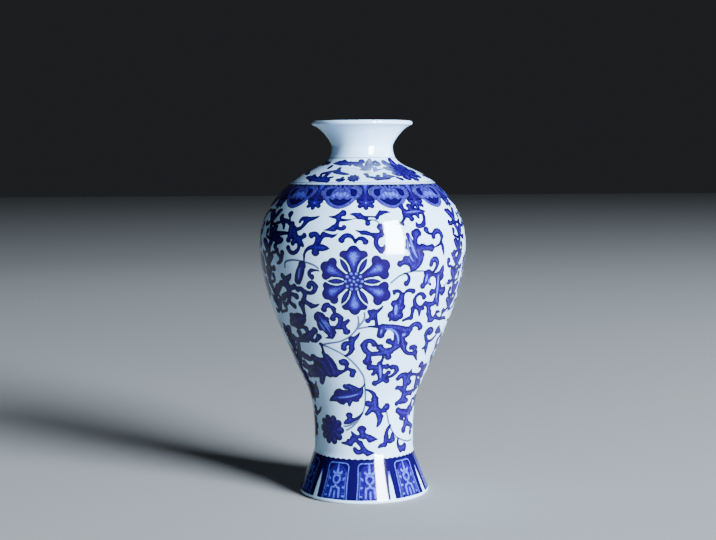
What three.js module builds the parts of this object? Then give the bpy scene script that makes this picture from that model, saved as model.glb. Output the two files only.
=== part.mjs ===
// Baluster vase in blue-and-white porcelain, 300 mm tall: a short neck under a trumpet mouth,
// high shoulders, a belly that tapers to a waist, and a splayed foot with a trimmed foot ring.
// It is built as a potter builds it, in thrown sections that are luted together with clay
// slip before firing. The sections are luted end to end, and each seam has a bead of slip inside.
import * as THREE from 'three';

// Sizes in millimetres. A rise is measured from the station below it, the first from the table.
const FACETS = 48;

const footRadius = 52.7;
const footEdgeRounding = 2.0;
const footSlope = -0.41;
const waistRise = 38.0;
const waistRadius = 40.0;
const flankRise = 76.0;
const flankRadius = 58.3;
const flankSlope = 0.395;
const bellyRise = 87.0;
const bellyRadius = 83.0;
const shoulderRise = 48.2;
const shoulderRadius = 60.0;
const shoulderSlope = -1.09;
const neckRise = 30.5;
const neckRadius = 24.5;
const mouthRise = 20.3;
const mouthRadius = 40.4;
const mouthSlope = 3.1;

const wallThickness = 4.6;
const lipThickness = 3.6;

const footJointBelowWaist = 7.0;
const neckJointBelowNeck = 9.7;

const recessDepth = 12.0;
const floorThickness = 6.0;
const floorLedge = 1.6;
const footRingWidth = 3.6;
const footRingChamfer = 0.8;

const beadHeight = 2.4;
const beadDepth = 1.6;
const beadBulge = 1.1;
const baseFillet = 2.6;
const slipClearance = 0.3;

// Stations of the outer line. A slope is the radius gained per millimetre of height.
const lipRadius = lipThickness / 2;
const mouthTilt = Math.atan(mouthSlope);
const footTilt = Math.atan(footSlope);

const waistHeight = waistRise;
const flankHeight = waistHeight + flankRise;
const bellyHeight = flankHeight + bellyRise;
const shoulderHeight = bellyHeight + shoulderRise;
const neckHeight = shoulderHeight + neckRise;
const mouthHeight = neckHeight + mouthRise;

const footStation = {
  radius: footRadius - footEdgeRounding * (1 - Math.cos(footTilt)),
  height: footEdgeRounding * (1 - Math.sin(footTilt)),
  slope: footSlope,
};
const waistStation = { radius: waistRadius, height: waistHeight, slope: 0 };
const flankStation = { radius: flankRadius, height: flankHeight, slope: flankSlope };
const bellyStation = { radius: bellyRadius, height: bellyHeight, slope: 0 };
const shoulderStation = { radius: shoulderRadius, height: shoulderHeight, slope: shoulderSlope };
const neckStation = { radius: neckRadius, height: neckHeight, slope: 0 };
const mouthStation = {
  radius: mouthRadius - lipRadius * (1 - Math.cos(mouthTilt)),
  height: mouthHeight - lipRadius * (1 + Math.sin(mouthTilt)),
  slope: mouthSlope,
};

// Spans of the outer line. The two reaches say how far each end holds its own slope, as shares
// of the span's rise, and steps is the number of straight runs that stand for the curve.
const SPANS = [
  { from: footStation, to: waistStation, reaches: [0.8, 0.08], steps: 6 },
  { from: waistStation, to: flankStation, reaches: [0.65, 0.4], steps: 6 },
  { from: flankStation, to: bellyStation, reaches: [0.16, 0.42], steps: 6 },
  { from: bellyStation, to: shoulderStation, reaches: [0.56, 0.12], steps: 6 },
  { from: shoulderStation, to: neckStation, reaches: [0.56, 0.61], steps: 7 },
  { from: neckStation, to: mouthStation, reaches: [0.19, 0.13], steps: 6 },
];

// Cubic curve between two stations, as radius and height
function spanCurve({ from, to, reaches }) {
  const rise = to.height - from.height;
  const out = reaches[0] * rise;
  const back = reaches[1] * rise;
  return new THREE.CubicBezierCurve(
    new THREE.Vector2(from.radius, from.height),
    new THREE.Vector2(from.radius + out * from.slope, from.height + out),
    new THREE.Vector2(to.radius - back * to.slope, to.height - back),
    new THREE.Vector2(to.radius, to.height),
  );
}

// Outer and inner line of the wall, from the foot to the lip. The inner line lies one wall
// thickness inside the outer one, and thins to the lip's thickness along the mouth.
function wallLines() {
  const outer = [];
  const inner = [];
  for (const span of SPANS) {
    const curve = spanCurve(span);
    const toLip = span.to === mouthStation;
    const first = outer.length === 0 ? 0 : 1;
    for (let step = first; step <= span.steps; step += 1) {
      const t = step / span.steps;
      const point = curve.getPoint(t);
      const along = curve.getTangent(t);
      const inward = new THREE.Vector2(-along.y, along.x);
      const thickness = toLip ? THREE.MathUtils.lerp(wallThickness, lipThickness, t) : wallThickness;
      outer.push(point);
      inner.push(point.clone().addScaledVector(inward, thickness));
    }
  }
  return { outer, inner };
}

const { outer: outerLine, inner: innerLine } = wallLines();

// Radius of a line where it crosses a height
function radiusAt(line, height) {
  for (let i = 1; i < line.length; i += 1) {
    const below = line[i - 1];
    const above = line[i];
    if (height >= below.y && height <= above.y) {
      return THREE.MathUtils.mapLinear(height, below.y, above.y, below.x, above.x);
    }
  }
  throw new RangeError(`the wall does not reach the height ${height}`);
}

// Run of a line between two heights, with both ends on it
function runBetween(line, low, high) {
  const margin = 0.6;
  const inside = line.filter((point) => point.y > low + margin && point.y < high - margin);
  return [
    new THREE.Vector2(radiusAt(line, low), low),
    ...inside,
    new THREE.Vector2(radiusAt(line, high), high),
  ];
}

// Points of an arc, both ends included
function arc(centreRadius, centreHeight, radius, startAngle, endAngle, steps) {
  const points = [];
  for (let step = 0; step <= steps; step += 1) {
    const angle = THREE.MathUtils.lerp(startAngle, endAngle, step / steps);
    points.push(new THREE.Vector2(
      centreRadius + radius * Math.cos(angle),
      centreHeight + radius * Math.sin(angle),
    ));
  }
  return points;
}

// Solid of revolution about the vertical axis. The outline runs anticlockwise in the plane of
// radius and height, and either starts and ends on the axis or is closed here.
function revolve(name, outline, material) {
  const startsOnAxis = outline[0].x === 0;
  const points = startsOnAxis ? outline : [...outline, outline[0].clone()];
  const geometry = new THREE.LatheGeometry(points, FACETS);
  geometry.rotateX(Math.PI / 2);
  const mesh = new THREE.Mesh(geometry, material);
  mesh.name = name;
  return mesh;
}

// Seam between two sections: the height of the joint, and the groove for the bead of slip
// that is cut back into the inner edges on both sides of it
function makeSeam(height) {
  const low = height - beadHeight / 2;
  const high = height + beadHeight / 2;
  const lowRadius = radiusAt(innerLine, low);
  const highRadius = radiusAt(innerLine, high);
  const grooveRadius = Math.max(lowRadius, highRadius) + beadDepth;
  return { height, low, high, lowRadius, highRadius, grooveRadius };
}

const footSeam = makeSeam(waistHeight - footJointBelowWaist);
const flankSeam = makeSeam(flankHeight);
const bellySeam = makeSeam(bellyHeight);
const shoulderSeam = makeSeam(shoulderHeight);
const neckSeam = makeSeam(neckHeight - neckJointBelowNeck);

// Upper edge of a section that ends at a seam, from the outside to the inside
function edgeUnder(seam) {
  return [
    new THREE.Vector2(seam.grooveRadius, seam.height),
    new THREE.Vector2(seam.grooveRadius, seam.low),
  ];
}

// Lower edge of a section that starts at a seam, from the inside to the outside
function edgeOver(seam) {
  return [
    new THREE.Vector2(seam.grooveRadius, seam.high),
    new THREE.Vector2(seam.grooveRadius, seam.height),
  ];
}

// Wall section between two seams
function makeSection(name, lower, upper, material) {
  const outside = runBetween(outerLine, lower.height, upper.height);
  const inside = runBetween(innerLine, lower.high, upper.low).reverse();
  return revolve(name, [...outside, ...edgeUnder(upper), ...inside, ...edgeOver(lower)], material);
}

// Mouth and neck in one section, with the rounded lip
function makeMouth(material) {
  const outside = runBetween(outerLine, neckSeam.height, mouthStation.height);
  const inside = runBetween(innerLine, neckSeam.high, innerLine.at(-1).y).reverse();
  const centreRadius = mouthRadius - lipRadius;
  const centreHeight = mouthHeight - lipRadius;
  const lip = [
    ...arc(centreRadius, centreHeight, lipRadius, -mouthTilt, 0, 2).slice(1),
    ...arc(centreRadius, centreHeight, lipRadius, 0, Math.PI / 2, 3).slice(1),
  ];
  return revolve('mouth_and_neck', [...outside, ...lip, ...inside, ...edgeOver(neckSeam)], material);
}

// The floor's seat inside the foot, and the inner face of the foot ring below it
const floorTop = recessDepth + floorThickness;
const seatRadius = radiusAt(innerLine, floorTop) + floorLedge;
const ringOuterRadius = footRadius - footEdgeRounding;
const ringInnerRadius = ringOuterRadius - footRingWidth;

// Splayed foot: the ring that the vase stands on, and the wall that narrows to the waist
function makeFoot(material) {
  const edge = arc(ringOuterRadius, footEdgeRounding, footEdgeRounding, -Math.PI / 2, -footTilt, 4);
  const outside = runBetween(outerLine, footStation.height, footSeam.height).slice(1);
  const inside = runBetween(innerLine, floorTop, footSeam.low).reverse();
  const recess = [
    new THREE.Vector2(seatRadius, floorTop),
    new THREE.Vector2(seatRadius, recessDepth),
    new THREE.Vector2(ringInnerRadius - footRingChamfer, footRingChamfer),
    new THREE.Vector2(ringInnerRadius, 0),
  ];
  const outline = [...edge, ...outside, ...edgeUnder(footSeam), ...inside, ...recess];
  return revolve('splayed_foot', outline, material);
}

// Floor of the vase, pressed up into its seat from below
function makeFloor(material) {
  const radius = seatRadius - slipClearance;
  return revolve('floor_disc', [
    new THREE.Vector2(0, recessDepth),
    new THREE.Vector2(radius, recessDepth),
    new THREE.Vector2(radius, floorTop),
    new THREE.Vector2(0, floorTop),
  ], material);
}

// Bead of slip in the groove of a seam, standing a little proud of the wall inside
function makeBead(name, seam, material) {
  const slant = new THREE.Vector2(seam.highRadius - seam.lowRadius, beadHeight).normalize();
  const crown = new THREE.Vector2((seam.lowRadius + seam.highRadius) / 2, seam.height);
  crown.addScaledVector(new THREE.Vector2(-slant.y, slant.x), beadBulge);
  const backRadius = seam.grooveRadius - slipClearance;
  return revolve(name, [
    new THREE.Vector2(backRadius, seam.low),
    new THREE.Vector2(backRadius, seam.high),
    new THREE.Vector2(seam.highRadius, seam.high),
    crown,
    new THREE.Vector2(seam.lowRadius, seam.low),
  ], material);
}

// Fillet of slip under the floor's edge, hollow on the side that shows
function makeFloorFillet(material) {
  const splay = (ringInnerRadius - footRingChamfer - seatRadius) / (recessDepth - footRingChamfer);
  const outerRadius = seatRadius - slipClearance;
  const lowHeight = recessDepth - baseFillet;
  const hollowDepth = baseFillet * 0.6;
  return revolve('floor_slip_fillet', [
    new THREE.Vector2(outerRadius + splay * baseFillet, lowHeight),
    new THREE.Vector2(outerRadius, recessDepth),
    new THREE.Vector2(outerRadius - baseFillet, recessDepth),
    new THREE.Vector2(outerRadius - baseFillet + hollowDepth, recessDepth - baseFillet + hollowDepth),
  ], material);
}

const bodyGlaze = new THREE.MeshStandardMaterial({ color: 0xe4eaf2, roughness: 0.12, metalness: 0 });
const footGlaze = new THREE.MeshStandardMaterial({ color: 0xe2e5e6, roughness: 0.15, metalness: 0 });
const firedSlip = new THREE.MeshStandardMaterial({ color: 0xd8dde2, roughness: 0.3, metalness: 0 });

const vase = new THREE.Group();
vase.name = 'chinese_vase';
vase.add(
  makeMouth(bodyGlaze),
  makeSection('shoulder', shoulderSeam, neckSeam, bodyGlaze),
  makeSection('upper_belly', bellySeam, shoulderSeam, bodyGlaze),
  makeSection('lower_belly', flankSeam, bellySeam, bodyGlaze),
  makeSection('waist', footSeam, flankSeam, bodyGlaze),
  makeFoot(footGlaze),
  makeFloor(footGlaze),
  makeBead('neck_slip_seam', neckSeam, firedSlip),
  makeBead('shoulder_slip_seam', shoulderSeam, firedSlip),
  makeBead('belly_slip_seam', bellySeam, firedSlip),
  makeBead('flank_slip_seam', flankSeam, firedSlip),
  makeBead('foot_slip_seam', footSeam, firedSlip),
  makeFloorFillet(firedSlip),
);

export default vase;
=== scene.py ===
"""Chinese vase in blue-and-white porcelain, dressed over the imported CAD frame.

The wall is thrown again at full fineness from the same named sizes as the CAD source, and the
cobalt painting is worked out stroke by stroke as distances on that wall. Every object is in
metres with its place in its mesh. Sizes in the painting are millimetres and degrees.
"""
import math

import bpy
import numpy as np
from bpy.props import FloatProperty, FloatVectorProperty, IntProperty, PointerProperty
from mathutils import Matrix, Vector


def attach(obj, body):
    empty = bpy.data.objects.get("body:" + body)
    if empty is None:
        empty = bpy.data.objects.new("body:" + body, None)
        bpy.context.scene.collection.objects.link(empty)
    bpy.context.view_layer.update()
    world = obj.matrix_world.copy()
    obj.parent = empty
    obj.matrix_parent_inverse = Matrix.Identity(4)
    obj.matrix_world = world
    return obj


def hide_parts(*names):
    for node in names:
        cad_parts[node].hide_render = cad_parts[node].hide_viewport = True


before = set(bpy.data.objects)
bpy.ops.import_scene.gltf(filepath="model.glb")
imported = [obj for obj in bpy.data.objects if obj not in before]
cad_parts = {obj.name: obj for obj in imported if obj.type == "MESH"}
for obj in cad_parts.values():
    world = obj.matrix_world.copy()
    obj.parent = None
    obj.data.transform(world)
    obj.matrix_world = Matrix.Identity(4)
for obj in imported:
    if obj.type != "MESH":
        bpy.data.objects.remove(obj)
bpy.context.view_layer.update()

bl_info = {
    "name": "Chinese Vase",
    "version": (1, 0, 0),
    "blender": (4, 5, 0),
    "location": "View3D > Sidebar > Vase",
    "description": "Throws and paints a blue-and-white baluster vase over its CAD frame",
    "category": "Object",
}

MM = 0.001

# Brush strokes of the lotus scroll, motif by motif. A stroke is one arc: the turn and height of
# its start, the turn and height of its end, its bow (the rise over half the chord, positive to
# the left of its way), and its half widths at the start, the middle and the end.
# Turns are in degrees from the front, heights and half widths in millimetres.
SCROLL = {
    "ball_and_leaf_over_flower": (
        (-11.4, 229.0, -13.6, 226.2, -0.20, 1.9, 1.8, 1.8),
        (-19.0, 226.5, -14.0, 226.3, -0.05, 0.0, 0.9, 1.8),
        (-13.8, 226.4, -13.7, 222.2, 0.00, 1.7, 1.3, 1.1),
        (-13.5, 224.5, -3.7, 225.6, -0.15, 1.2, 0.5, 0.0),
        (-13.8, 222.6, -16.2, 218.2, 0.10, 1.0, 1.2, 1.8),
        (-16.0, 218.0, -21.4, 216.4, 0.05, 1.8, 1.0, 0.0),
        (-16.0, 217.8, -14.4, 217.8, 0.00, 1.6, 1.3, 0.9),
        (-13.9, 221.2, -10.2, 218.7, -0.85, 1.0, 1.1, 1.8),
    ),
    "hanging_ball_and_hook": (
        (-7.0, 228.4, -1.8, 226.9, 0.15, 0.0, 1.4, 1.9),
        (-1.8, 226.9, 1.2, 225.0, 0.05, 1.9, 1.7, 1.0),
        (0.4, 226.3, 7.6, 226.2, 0.05, 0.5, 0.4, 0.7),
        (1.8, 225.4, 2.6, 221.6, 0.00, 1.0, 1.2, 2.0),
        (3.8, 223.8, 9.0, 220.8, 0.40, 0.3, 0.0, 0.0),
        (7.8, 225.4, 10.6, 229.4, 0.25, 1.0, 1.2, 1.4),
        (10.4, 229.4, 15.9, 229.5, 0.12, 1.4, 1.0, 0.0),
    ),
    "c_scroll_over_flower": (
        (9.6, 218.4, 10.4, 213.4, 0.00, 2.1, 0.9, 1.2),
        (-3.6, 216.4, -0.4, 214.8, 0.00, 0.0, 0.6, 1.3),
        (-0.4, 214.8, 2.6, 214.4, 0.10, 1.3, 1.5, 1.1),
        (2.4, 214.2, 6.6, 212.5, 0.00, 1.3, 1.1, 1.3),
        (6.0, 212.6, 10.6, 213.3, 0.00, 1.4, 1.6, 1.2),
        (9.2, 213.0, 9.6, 201.8, -0.70, 1.5, 1.6, 1.8),
        (9.6, 201.6, 11.3, 205.2, -0.25, 1.8, 1.3, 0.5),
    ),
    "curls_on_flower": (
        (-11.2, 209.6, -4.6, 208.9, 0.75, 1.7, 1.5, 0.7),
        (1.2, 208.2, -3.9, 207.4, -0.75, 1.6, 1.2, 0.6),
        (-4.5, 209.3, -3.6, 204.8, 0.00, 0.7, 0.6, 0.8),
    ),
    "sprig_left_of_flower": (
        (-28.2, 212.7, -24.5, 208.6, 0.80, 1.7, 1.8, 1.6),
        (-24.5, 209.0, -26.5, 204.0, 0.10, 1.6, 1.7, 1.6),
        (-23.4, 208.0, -21.2, 212.8, 0.10, 1.3, 1.4, 1.6),
        (-21.2, 213.0, -16.6, 212.1, 0.05, 1.6, 1.3, 1.1),
        (-16.6, 212.1, -13.3, 214.2, -0.15, 1.1, 0.6, 0.0),
        (-25.5, 203.4, -17.6, 202.7, 0.05, 1.9, 2.4, 0.1),
        (-25.7, 200.2, -25.4, 204.0, 0.00, 2.3, 1.9, 1.8),
        (-26.0, 203.5, -32.6, 197.5, -0.40, 1.7, 1.2, 0.7),
        (-32.6, 197.8, -32.8, 193.0, 0.00, 0.7, 0.6, 0.5),
    ),
    "leafy_scroll_under_ruyi": (
        (18.4, 220.6, 22.0, 221.6, 0.00, 0.3, 0.9, 1.0),
        (22.4, 220.4, 21.8, 222.0, 0.00, 0.8, 0.8, 0.9),
        (21.6, 221.8, 24.6, 227.5, -0.12, 0.7, 0.9, 1.6),
        (23.3, 233.2, 24.6, 229.0, 0.00, 1.5, 1.4, 1.8),
        (25.6, 228.6, 32.0, 229.6, 0.00, 2.6, 2.7, 2.3),
        (32.0, 229.6, 38.8, 229.7, 0.00, 2.3, 1.9, 0.4),
        (28.6, 233.6, 29.5, 230.5, 0.00, 1.7, 1.9, 2.2),
        (28.1, 224.6, 23.4, 226.4, -0.45, 1.5, 1.4, 0.8),
        (32.8, 225.2, 32.2, 229.0, 0.00, 0.7, 1.5, 1.8),
        (36.4, 228.8, 35.3, 220.5, 0.25, 1.0, 1.2, 1.4),
        (35.4, 220.6, 30.9, 219.2, 0.30, 1.4, 1.6, 1.4),
        (30.9, 219.4, 30.7, 220.8, 0.00, 1.3, 1.1, 1.1),
    ),
    "tall_leaf": (
        (28.6, 213.2, 29.8, 214.0, 0.00, 2.2, 2.6, 2.7),
        (30.0, 213.4, 28.6, 206.0, -0.20, 2.6, 1.9, 1.9),
        (24.2, 212.8, 27.6, 203.0, -0.05, 1.2, 1.5, 1.8),
        (23.3, 209.0, 23.8, 203.8, 0.00, 0.2, 1.1, 1.3),
        (23.2, 203.2, 27.0, 199.0, 0.15, 1.0, 1.5, 2.2),
        (27.8, 204.5, 28.4, 188.5, 0.00, 2.2, 4.4, 2.8),
        (30.0, 203.0, 31.2, 192.5, 0.05, 1.6, 3.6, 2.8),
        (32.4, 204.6, 34.6, 203.4, 0.00, 0.8, 1.2, 1.2),
        (38.9, 202.0, 32.0, 202.2, 0.00, 2.1, 1.9, 2.3),
        (32.6, 197.0, 28.0, 186.5, 0.20, 1.6, 2.4, 1.5),
        (19.8, 191.0, 25.0, 192.8, 0.12, 1.7, 2.0, 2.8),
        (25.0, 192.6, 27.4, 187.0, 0.15, 2.8, 2.6, 1.6),
        (22.8, 194.6, 26.0, 194.0, 0.00, 1.6, 2.2, 2.6),
        (27.2, 189.0, 26.2, 184.4, 0.05, 2.4, 1.6, 0.4),
    ),
    "hook_and_tail": (
        (36.4, 215.6, 40.6, 213.0, -0.45, 1.7, 0.9, 0.7),
        (40.9, 210.6, 47.3, 210.0, 0.95, 1.4, 2.0, 1.4),
        (47.3, 210.3, 44.6, 203.9, 0.15, 1.4, 1.0, 0.7),
        (44.7, 204.1, 40.8, 202.0, 0.00, 0.7, 0.5, 0.4),
        (46.6, 206.0, 48.8, 195.3, 0.05, 0.9, 1.4, 0.2),
        (39.1, 189.5, 43.8, 189.2, 1.10, 1.4, 2.1, 1.6),
        (43.7, 189.3, 40.5, 183.0, 0.25, 1.4, 1.3, 0.8),
        (24.2, 175.9, 22.0, 183.5, -0.75, 1.6, 1.0, 0.3),
    ),
    "bud": (
        (22.0, 166.5, 19.7, 150.0, 0.00, 1.6, 4.2, 4.2),
        (18.0, 160.3, 20.0, 159.0, 0.00, 2.0, 2.0, 2.0),
        (23.3, 157.3, 21.0, 156.0, 0.00, 1.6, 1.8, 2.0),
        (17.0, 151.5, 19.0, 151.0, 0.00, 2.3, 2.3, 2.3),
        (22.0, 150.5, 20.0, 151.0, 0.00, 2.3, 2.3, 2.3),
        (16.2, 147.0, 17.5, 150.0, 0.00, 0.6, 1.2, 1.8),
        (17.2, 169.3, 21.6, 167.3, 0.55, 1.4, 1.1, 0.9),
        (28.8, 169.3, 23.2, 167.2, -0.50, 1.4, 1.2, 0.6),
    ),
    "right_scroll": (
        (37.0, 164.2, 30.6, 162.5, -0.85, 1.5, 1.2, 1.3),
        (30.5, 162.8, 35.5, 155.2, -0.35, 1.3, 1.7, 1.8),
        (35.5, 155.2, 38.3, 154.6, 0.10, 1.8, 1.4, 1.0),
        (35.2, 155.0, 36.0, 149.6, 0.05, 1.5, 1.3, 0.8),
        (30.4, 155.6, 30.2, 148.6, 0.05, 1.5, 1.4, 1.5),
        (30.0, 148.4, 25.0, 146.4, -0.10, 1.5, 1.2, 1.0),
        (36.5, 155.8, 38.6, 159.4, 0.00, 1.2, 1.5, 1.5),
        (38.8, 158.8, 46.0, 158.2, -0.12, 1.4, 1.8, 2.0),
        (41.5, 157.5, 43.5, 150.8, 0.00, 1.8, 2.0, 2.0),
        (43.5, 151.0, 47.0, 145.4, -0.10, 2.0, 2.2, 2.4),
        (45.0, 180.0, 46.9, 170.0, 0.04, 2.2, 2.5, 2.7),
        (46.9, 170.5, 47.6, 160.0, 0.00, 2.6, 2.4, 2.5),
        (47.6, 162.0, 50.2, 156.2, 0.00, 2.5, 2.2, 1.4),
        (46.5, 160.0, 43.0, 156.5, 0.00, 1.6, 1.6, 1.4),
        (51.4, 167.6, 48.0, 168.4, 0.00, 2.8, 2.2, 2.0),
        (42.4, 167.4, 46.0, 168.8, -0.05, 2.1, 1.6, 2.0),
        (34.7, 184.2, 37.2, 181.0, 0.00, 0.3, 1.8, 3.0),
        (37.6, 181.4, 36.3, 175.4, -0.05, 3.0, 3.1, 2.4),
        (34.9, 173.4, 36.3, 175.6, 0.00, 1.9, 2.0, 2.2),
        (38.6, 177.8, 40.2, 173.6, -0.35, 0.7, 0.8, 0.9),
        (37.5, 181.2, 42.5, 181.4, -0.05, 2.0, 1.3, 1.1),
        (41.5, 181.2, 46.8, 180.8, -0.12, 1.0, 1.7, 2.7),
        (47.2, 181.2, 48.6, 188.0, -0.10, 2.9, 2.2, 0.6),
        (49.4, 179.4, 47.6, 176.4, 0.40, 1.2, 0.9, 0.6),
    ),
    "two_lobed_leaf": (
        (-28.0, 153.6, -27.2, 149.2, 0.00, 0.2, 1.8, 3.6),
        (-27.2, 148.6, -25.2, 143.0, 0.00, 3.8, 4.8, 4.6),
        (-25.2, 143.0, -21.6, 137.2, 0.00, 4.4, 4.2, 3.6),
        (-22.4, 148.4, -25.0, 146.4, 0.00, 1.3, 1.9, 2.6),
        (-18.8, 141.6, -22.0, 140.4, 0.00, 1.1, 1.7, 2.6),
        (-28.6, 139.8, -25.2, 141.6, 0.00, 1.1, 1.7, 2.6),
        (-21.4, 137.0, -21.6, 133.2, 0.00, 3.2, 2.6, 1.2),
        (-22.0, 134.0, -26.0, 132.6, 0.10, 1.2, 0.8, 0.3),
    ),
    "curl_and_trefoil": (
        (-23.6, 156.0, -17.6, 155.5, 0.95, 1.7, 1.9, 1.4),
        (-17.5, 156.0, -17.2, 152.0, 0.00, 1.4, 1.2, 1.2),
        (-18.7, 149.0, -13.8, 148.6, 0.95, 1.7, 1.8, 1.6),
        (-13.8, 149.0, -16.0, 142.3, 0.15, 1.6, 1.7, 1.8),
        (-15.5, 142.3, -20.0, 140.2, 0.00, 1.8, 1.1, 0.7),
        (-9.2, 147.4, -13.0, 143.5, 0.00, 1.1, 1.6, 2.0),
        (-11.0, 138.8, -12.5, 142.5, 0.00, 2.1, 1.8, 2.0),
    ),
    "hook_with_leaf": (
        (-13.9, 124.8, -9.3, 128.8, 0.60, 1.6, 2.0, 1.6),
        (-2.6, 137.5, -7.3, 131.9, 0.15, 0.2, 1.2, 2.0),
        (-7.6, 132.0, -8.4, 124.0, 0.00, 2.0, 1.9, 1.7),
        (-8.3, 124.5, -13.6, 118.6, 0.30, 1.7, 1.3, 0.8),
    ),
    "low_left_sprig": (
        (-16.3, 113.3, -13.2, 111.8, 0.90, 2.1, 1.9, 1.4),
        (-13.2, 112.0, -15.0, 106.7, 0.15, 1.4, 1.2, 1.0),
        (-22.0, 104.6, -13.5, 107.4, -0.15, 2.2, 1.2, 0.9),
        (-13.5, 107.6, -8.7, 105.2, 0.35, 0.9, 1.5, 1.8),
        (-8.7, 105.5, -9.8, 102.4, 0.00, 1.8, 2.0, 2.1),
    ),
    "small_sprig": (
        (2.6, 155.6, 5.2, 151.8, 0.00, 0.6, 1.6, 2.2),
        (11.2, 158.5, 6.5, 153.6, 0.15, 0.2, 1.1, 1.8),
        (5.8, 153.5, 5.3, 149.5, 0.00, 2.2, 2.6, 2.0),
        (2.7, 147.4, 5.3, 150.0, 0.00, 1.4, 1.4, 1.9),
        (7.0, 152.0, 8.2, 143.8, 0.00, 1.3, 1.1, 1.2),
    ),
    "c_scroll": (
        (7.3, 128.3, 0.4, 126.5, -1.00, 1.7, 1.9, 2.1),
        (0.3, 127.0, 9.0, 120.3, -0.50, 2.1, 2.2, 1.4),
        (3.0, 114.4, 4.0, 119.5, 0.00, 2.7, 2.2, 2.0),
        (8.0, 120.3, 20.0, 121.8, -0.05, 1.4, 2.4, 2.6),
    ),
    "great_acanthus": (
        (3.0, 142.6, 14.0, 142.2, 0.00, 0.2, 1.1, 2.0),
        (12.0, 142.2, 27.0, 139.0, 0.10, 1.8, 2.2, 2.6),
        (11.2, 135.8, 12.4, 140.4, 0.10, 2.2, 3.2, 3.6),
        (16.0, 141.5, 23.2, 133.0, 0.35, 1.4, 2.2, 2.6),
        (23.3, 134.0, 22.5, 124.8, 0.00, 2.6, 2.9, 2.6),
        (26.0, 138.8, 31.5, 138.6, 0.00, 2.6, 2.8, 2.4),
        (31.2, 139.0, 31.2, 134.6, 0.00, 1.8, 1.4, 1.1),
        (31.1, 135.0, 26.3, 133.2, 0.50, 0.9, 0.8, 0.7),
        (39.3, 139.7, 31.3, 140.4, -0.60, 1.8, 2.1, 1.9),
        (17.4, 130.2, 22.5, 128.5, -0.25, 1.8, 1.7, 2.2),
        (27.6, 137.4, 29.4, 134.8, 0.00, 2.2, 2.4, 1.8),
        (11.6, 125.6, 14.6, 122.6, 0.10, 1.8, 1.6, 1.8),
        (14.0, 122.3, 25.0, 126.0, -0.20, 2.0, 2.4, 2.4),
        (18.7, 117.3, 18.0, 121.5, 0.00, 1.9, 2.0, 2.2),
        (26.0, 134.0, 29.3, 125.5, 0.00, 1.3, 2.3, 2.6),
        (29.3, 126.0, 33.5, 119.6, -0.20, 2.6, 1.8, 1.4),
        (33.0, 119.8, 42.0, 118.2, -0.10, 1.3, 1.5, 1.8),
        (42.0, 118.5, 47.0, 111.8, -0.10, 1.8, 1.2, 0.2),
        (36.6, 123.9, 40.8, 121.5, 0.60, 1.6, 1.5, 1.6),
        (40.3, 122.0, 40.6, 118.4, 0.00, 1.8, 1.6, 1.6),
        (11.7, 125.3, 16.0, 122.2, -0.20, 2.0, 2.0, 2.4),
    ),
    "right_spiral": (
        (51.6, 135.2, 47.2, 132.5, -1.10, 2.5, 2.2, 1.6),
        (47.2, 133.0, 53.0, 126.7, -0.30, 1.6, 1.4, 1.1),
        (52.5, 126.7, 61.0, 131.5, -0.25, 1.1, 1.3, 1.2),
        (51.5, 126.3, 53.5, 120.8, 0.00, 1.5, 2.0, 1.6),
        (53.3, 121.0, 56.0, 115.3, 0.00, 1.6, 1.1, 0.3),
        (48.8, 121.5, 52.0, 123.5, 0.00, 0.9, 1.4, 1.6),
        (60.2, 135.3, 68.0, 132.5, -0.10, 2.5, 1.8, 0.4),
    ),
    "chain_of_leaves": (
        (46.0, 145.2, 51.0, 147.4, -0.40, 1.7, 2.2, 1.7),
        (50.6, 151.0, 54.2, 150.6, 0.00, 1.0, 1.0, 0.8),
        (51.4, 151.0, 49.8, 147.6, 0.10, 1.1, 1.1, 1.3),
        (51.0, 146.8, 58.0, 144.4, -0.05, 1.5, 1.3, 1.1),
        (58.0, 144.4, 67.0, 143.0, 0.20, 1.1, 1.3, 0.4),
        (58.6, 149.6, 57.0, 145.6, 0.20, 1.3, 1.0, 0.8),
    ),
    "upright_acanthus": (
        (15.0, 119.5, 12.8, 112.0, 0.10, 0.7, 0.9, 1.5),
        (5.3, 109.2, 12.0, 108.5, 0.00, 2.1, 2.3, 2.4),
        (18.2, 109.3, 13.0, 109.5, 0.00, 1.8, 1.7, 2.0),
        (7.7, 103.3, 10.0, 106.0, 0.00, 1.3, 1.5, 2.0),
        (12.5, 112.0, 12.5, 106.0, 0.00, 1.4, 2.4, 2.4),
        (12.5, 106.0, 15.0, 99.0, 0.05, 2.4, 2.2, 2.4),
        (10.5, 95.8, 15.0, 98.0, -0.10, 1.9, 1.9, 2.2),
        (20.8, 97.0, 16.5, 99.5, 0.00, 1.5, 1.9, 2.2),
        (20.7, 104.0, 17.5, 101.0, 0.00, 1.4, 1.6, 2.2),
        (23.7, 108.6, 28.0, 104.5, 0.55, 1.7, 1.8, 1.6),
        (28.0, 105.0, 21.0, 100.3, 0.35, 1.6, 1.4, 1.0),
    ),
    "serrated_leaf": (
        (-38.0, 79.6, -20.0, 84.3, 0.10, 0.2, 3.2, 5.0),
        (-22.0, 84.3, -7.0, 85.5, 0.00, 5.2, 5.2, 3.6),
        (-8.0, 85.3, -1.3, 91.3, -0.25, 4.0, 2.4, 0.6),
        (-16.8, 92.7, -10.0, 89.5, 0.35, 1.6, 2.4, 1.6),
        (-13.0, 92.7, -4.5, 90.5, 0.10, 2.0, 1.6, 1.0),
        (-5.0, 90.3, 0.8, 95.0, -0.20, 0.8, 0.5, 0.4),
        (-15.3, 77.2, -14.0, 81.0, 0.00, 0.9, 1.4, 2.0),
    ),
    "hooked_leaf_sprig": (
        (2.3, 90.2, 11.3, 81.0, 0.40, 0.5, 1.4, 1.9),
        (4.7, 78.5, 9.5, 78.0, 0.00, 1.8, 1.9, 2.2),
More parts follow.
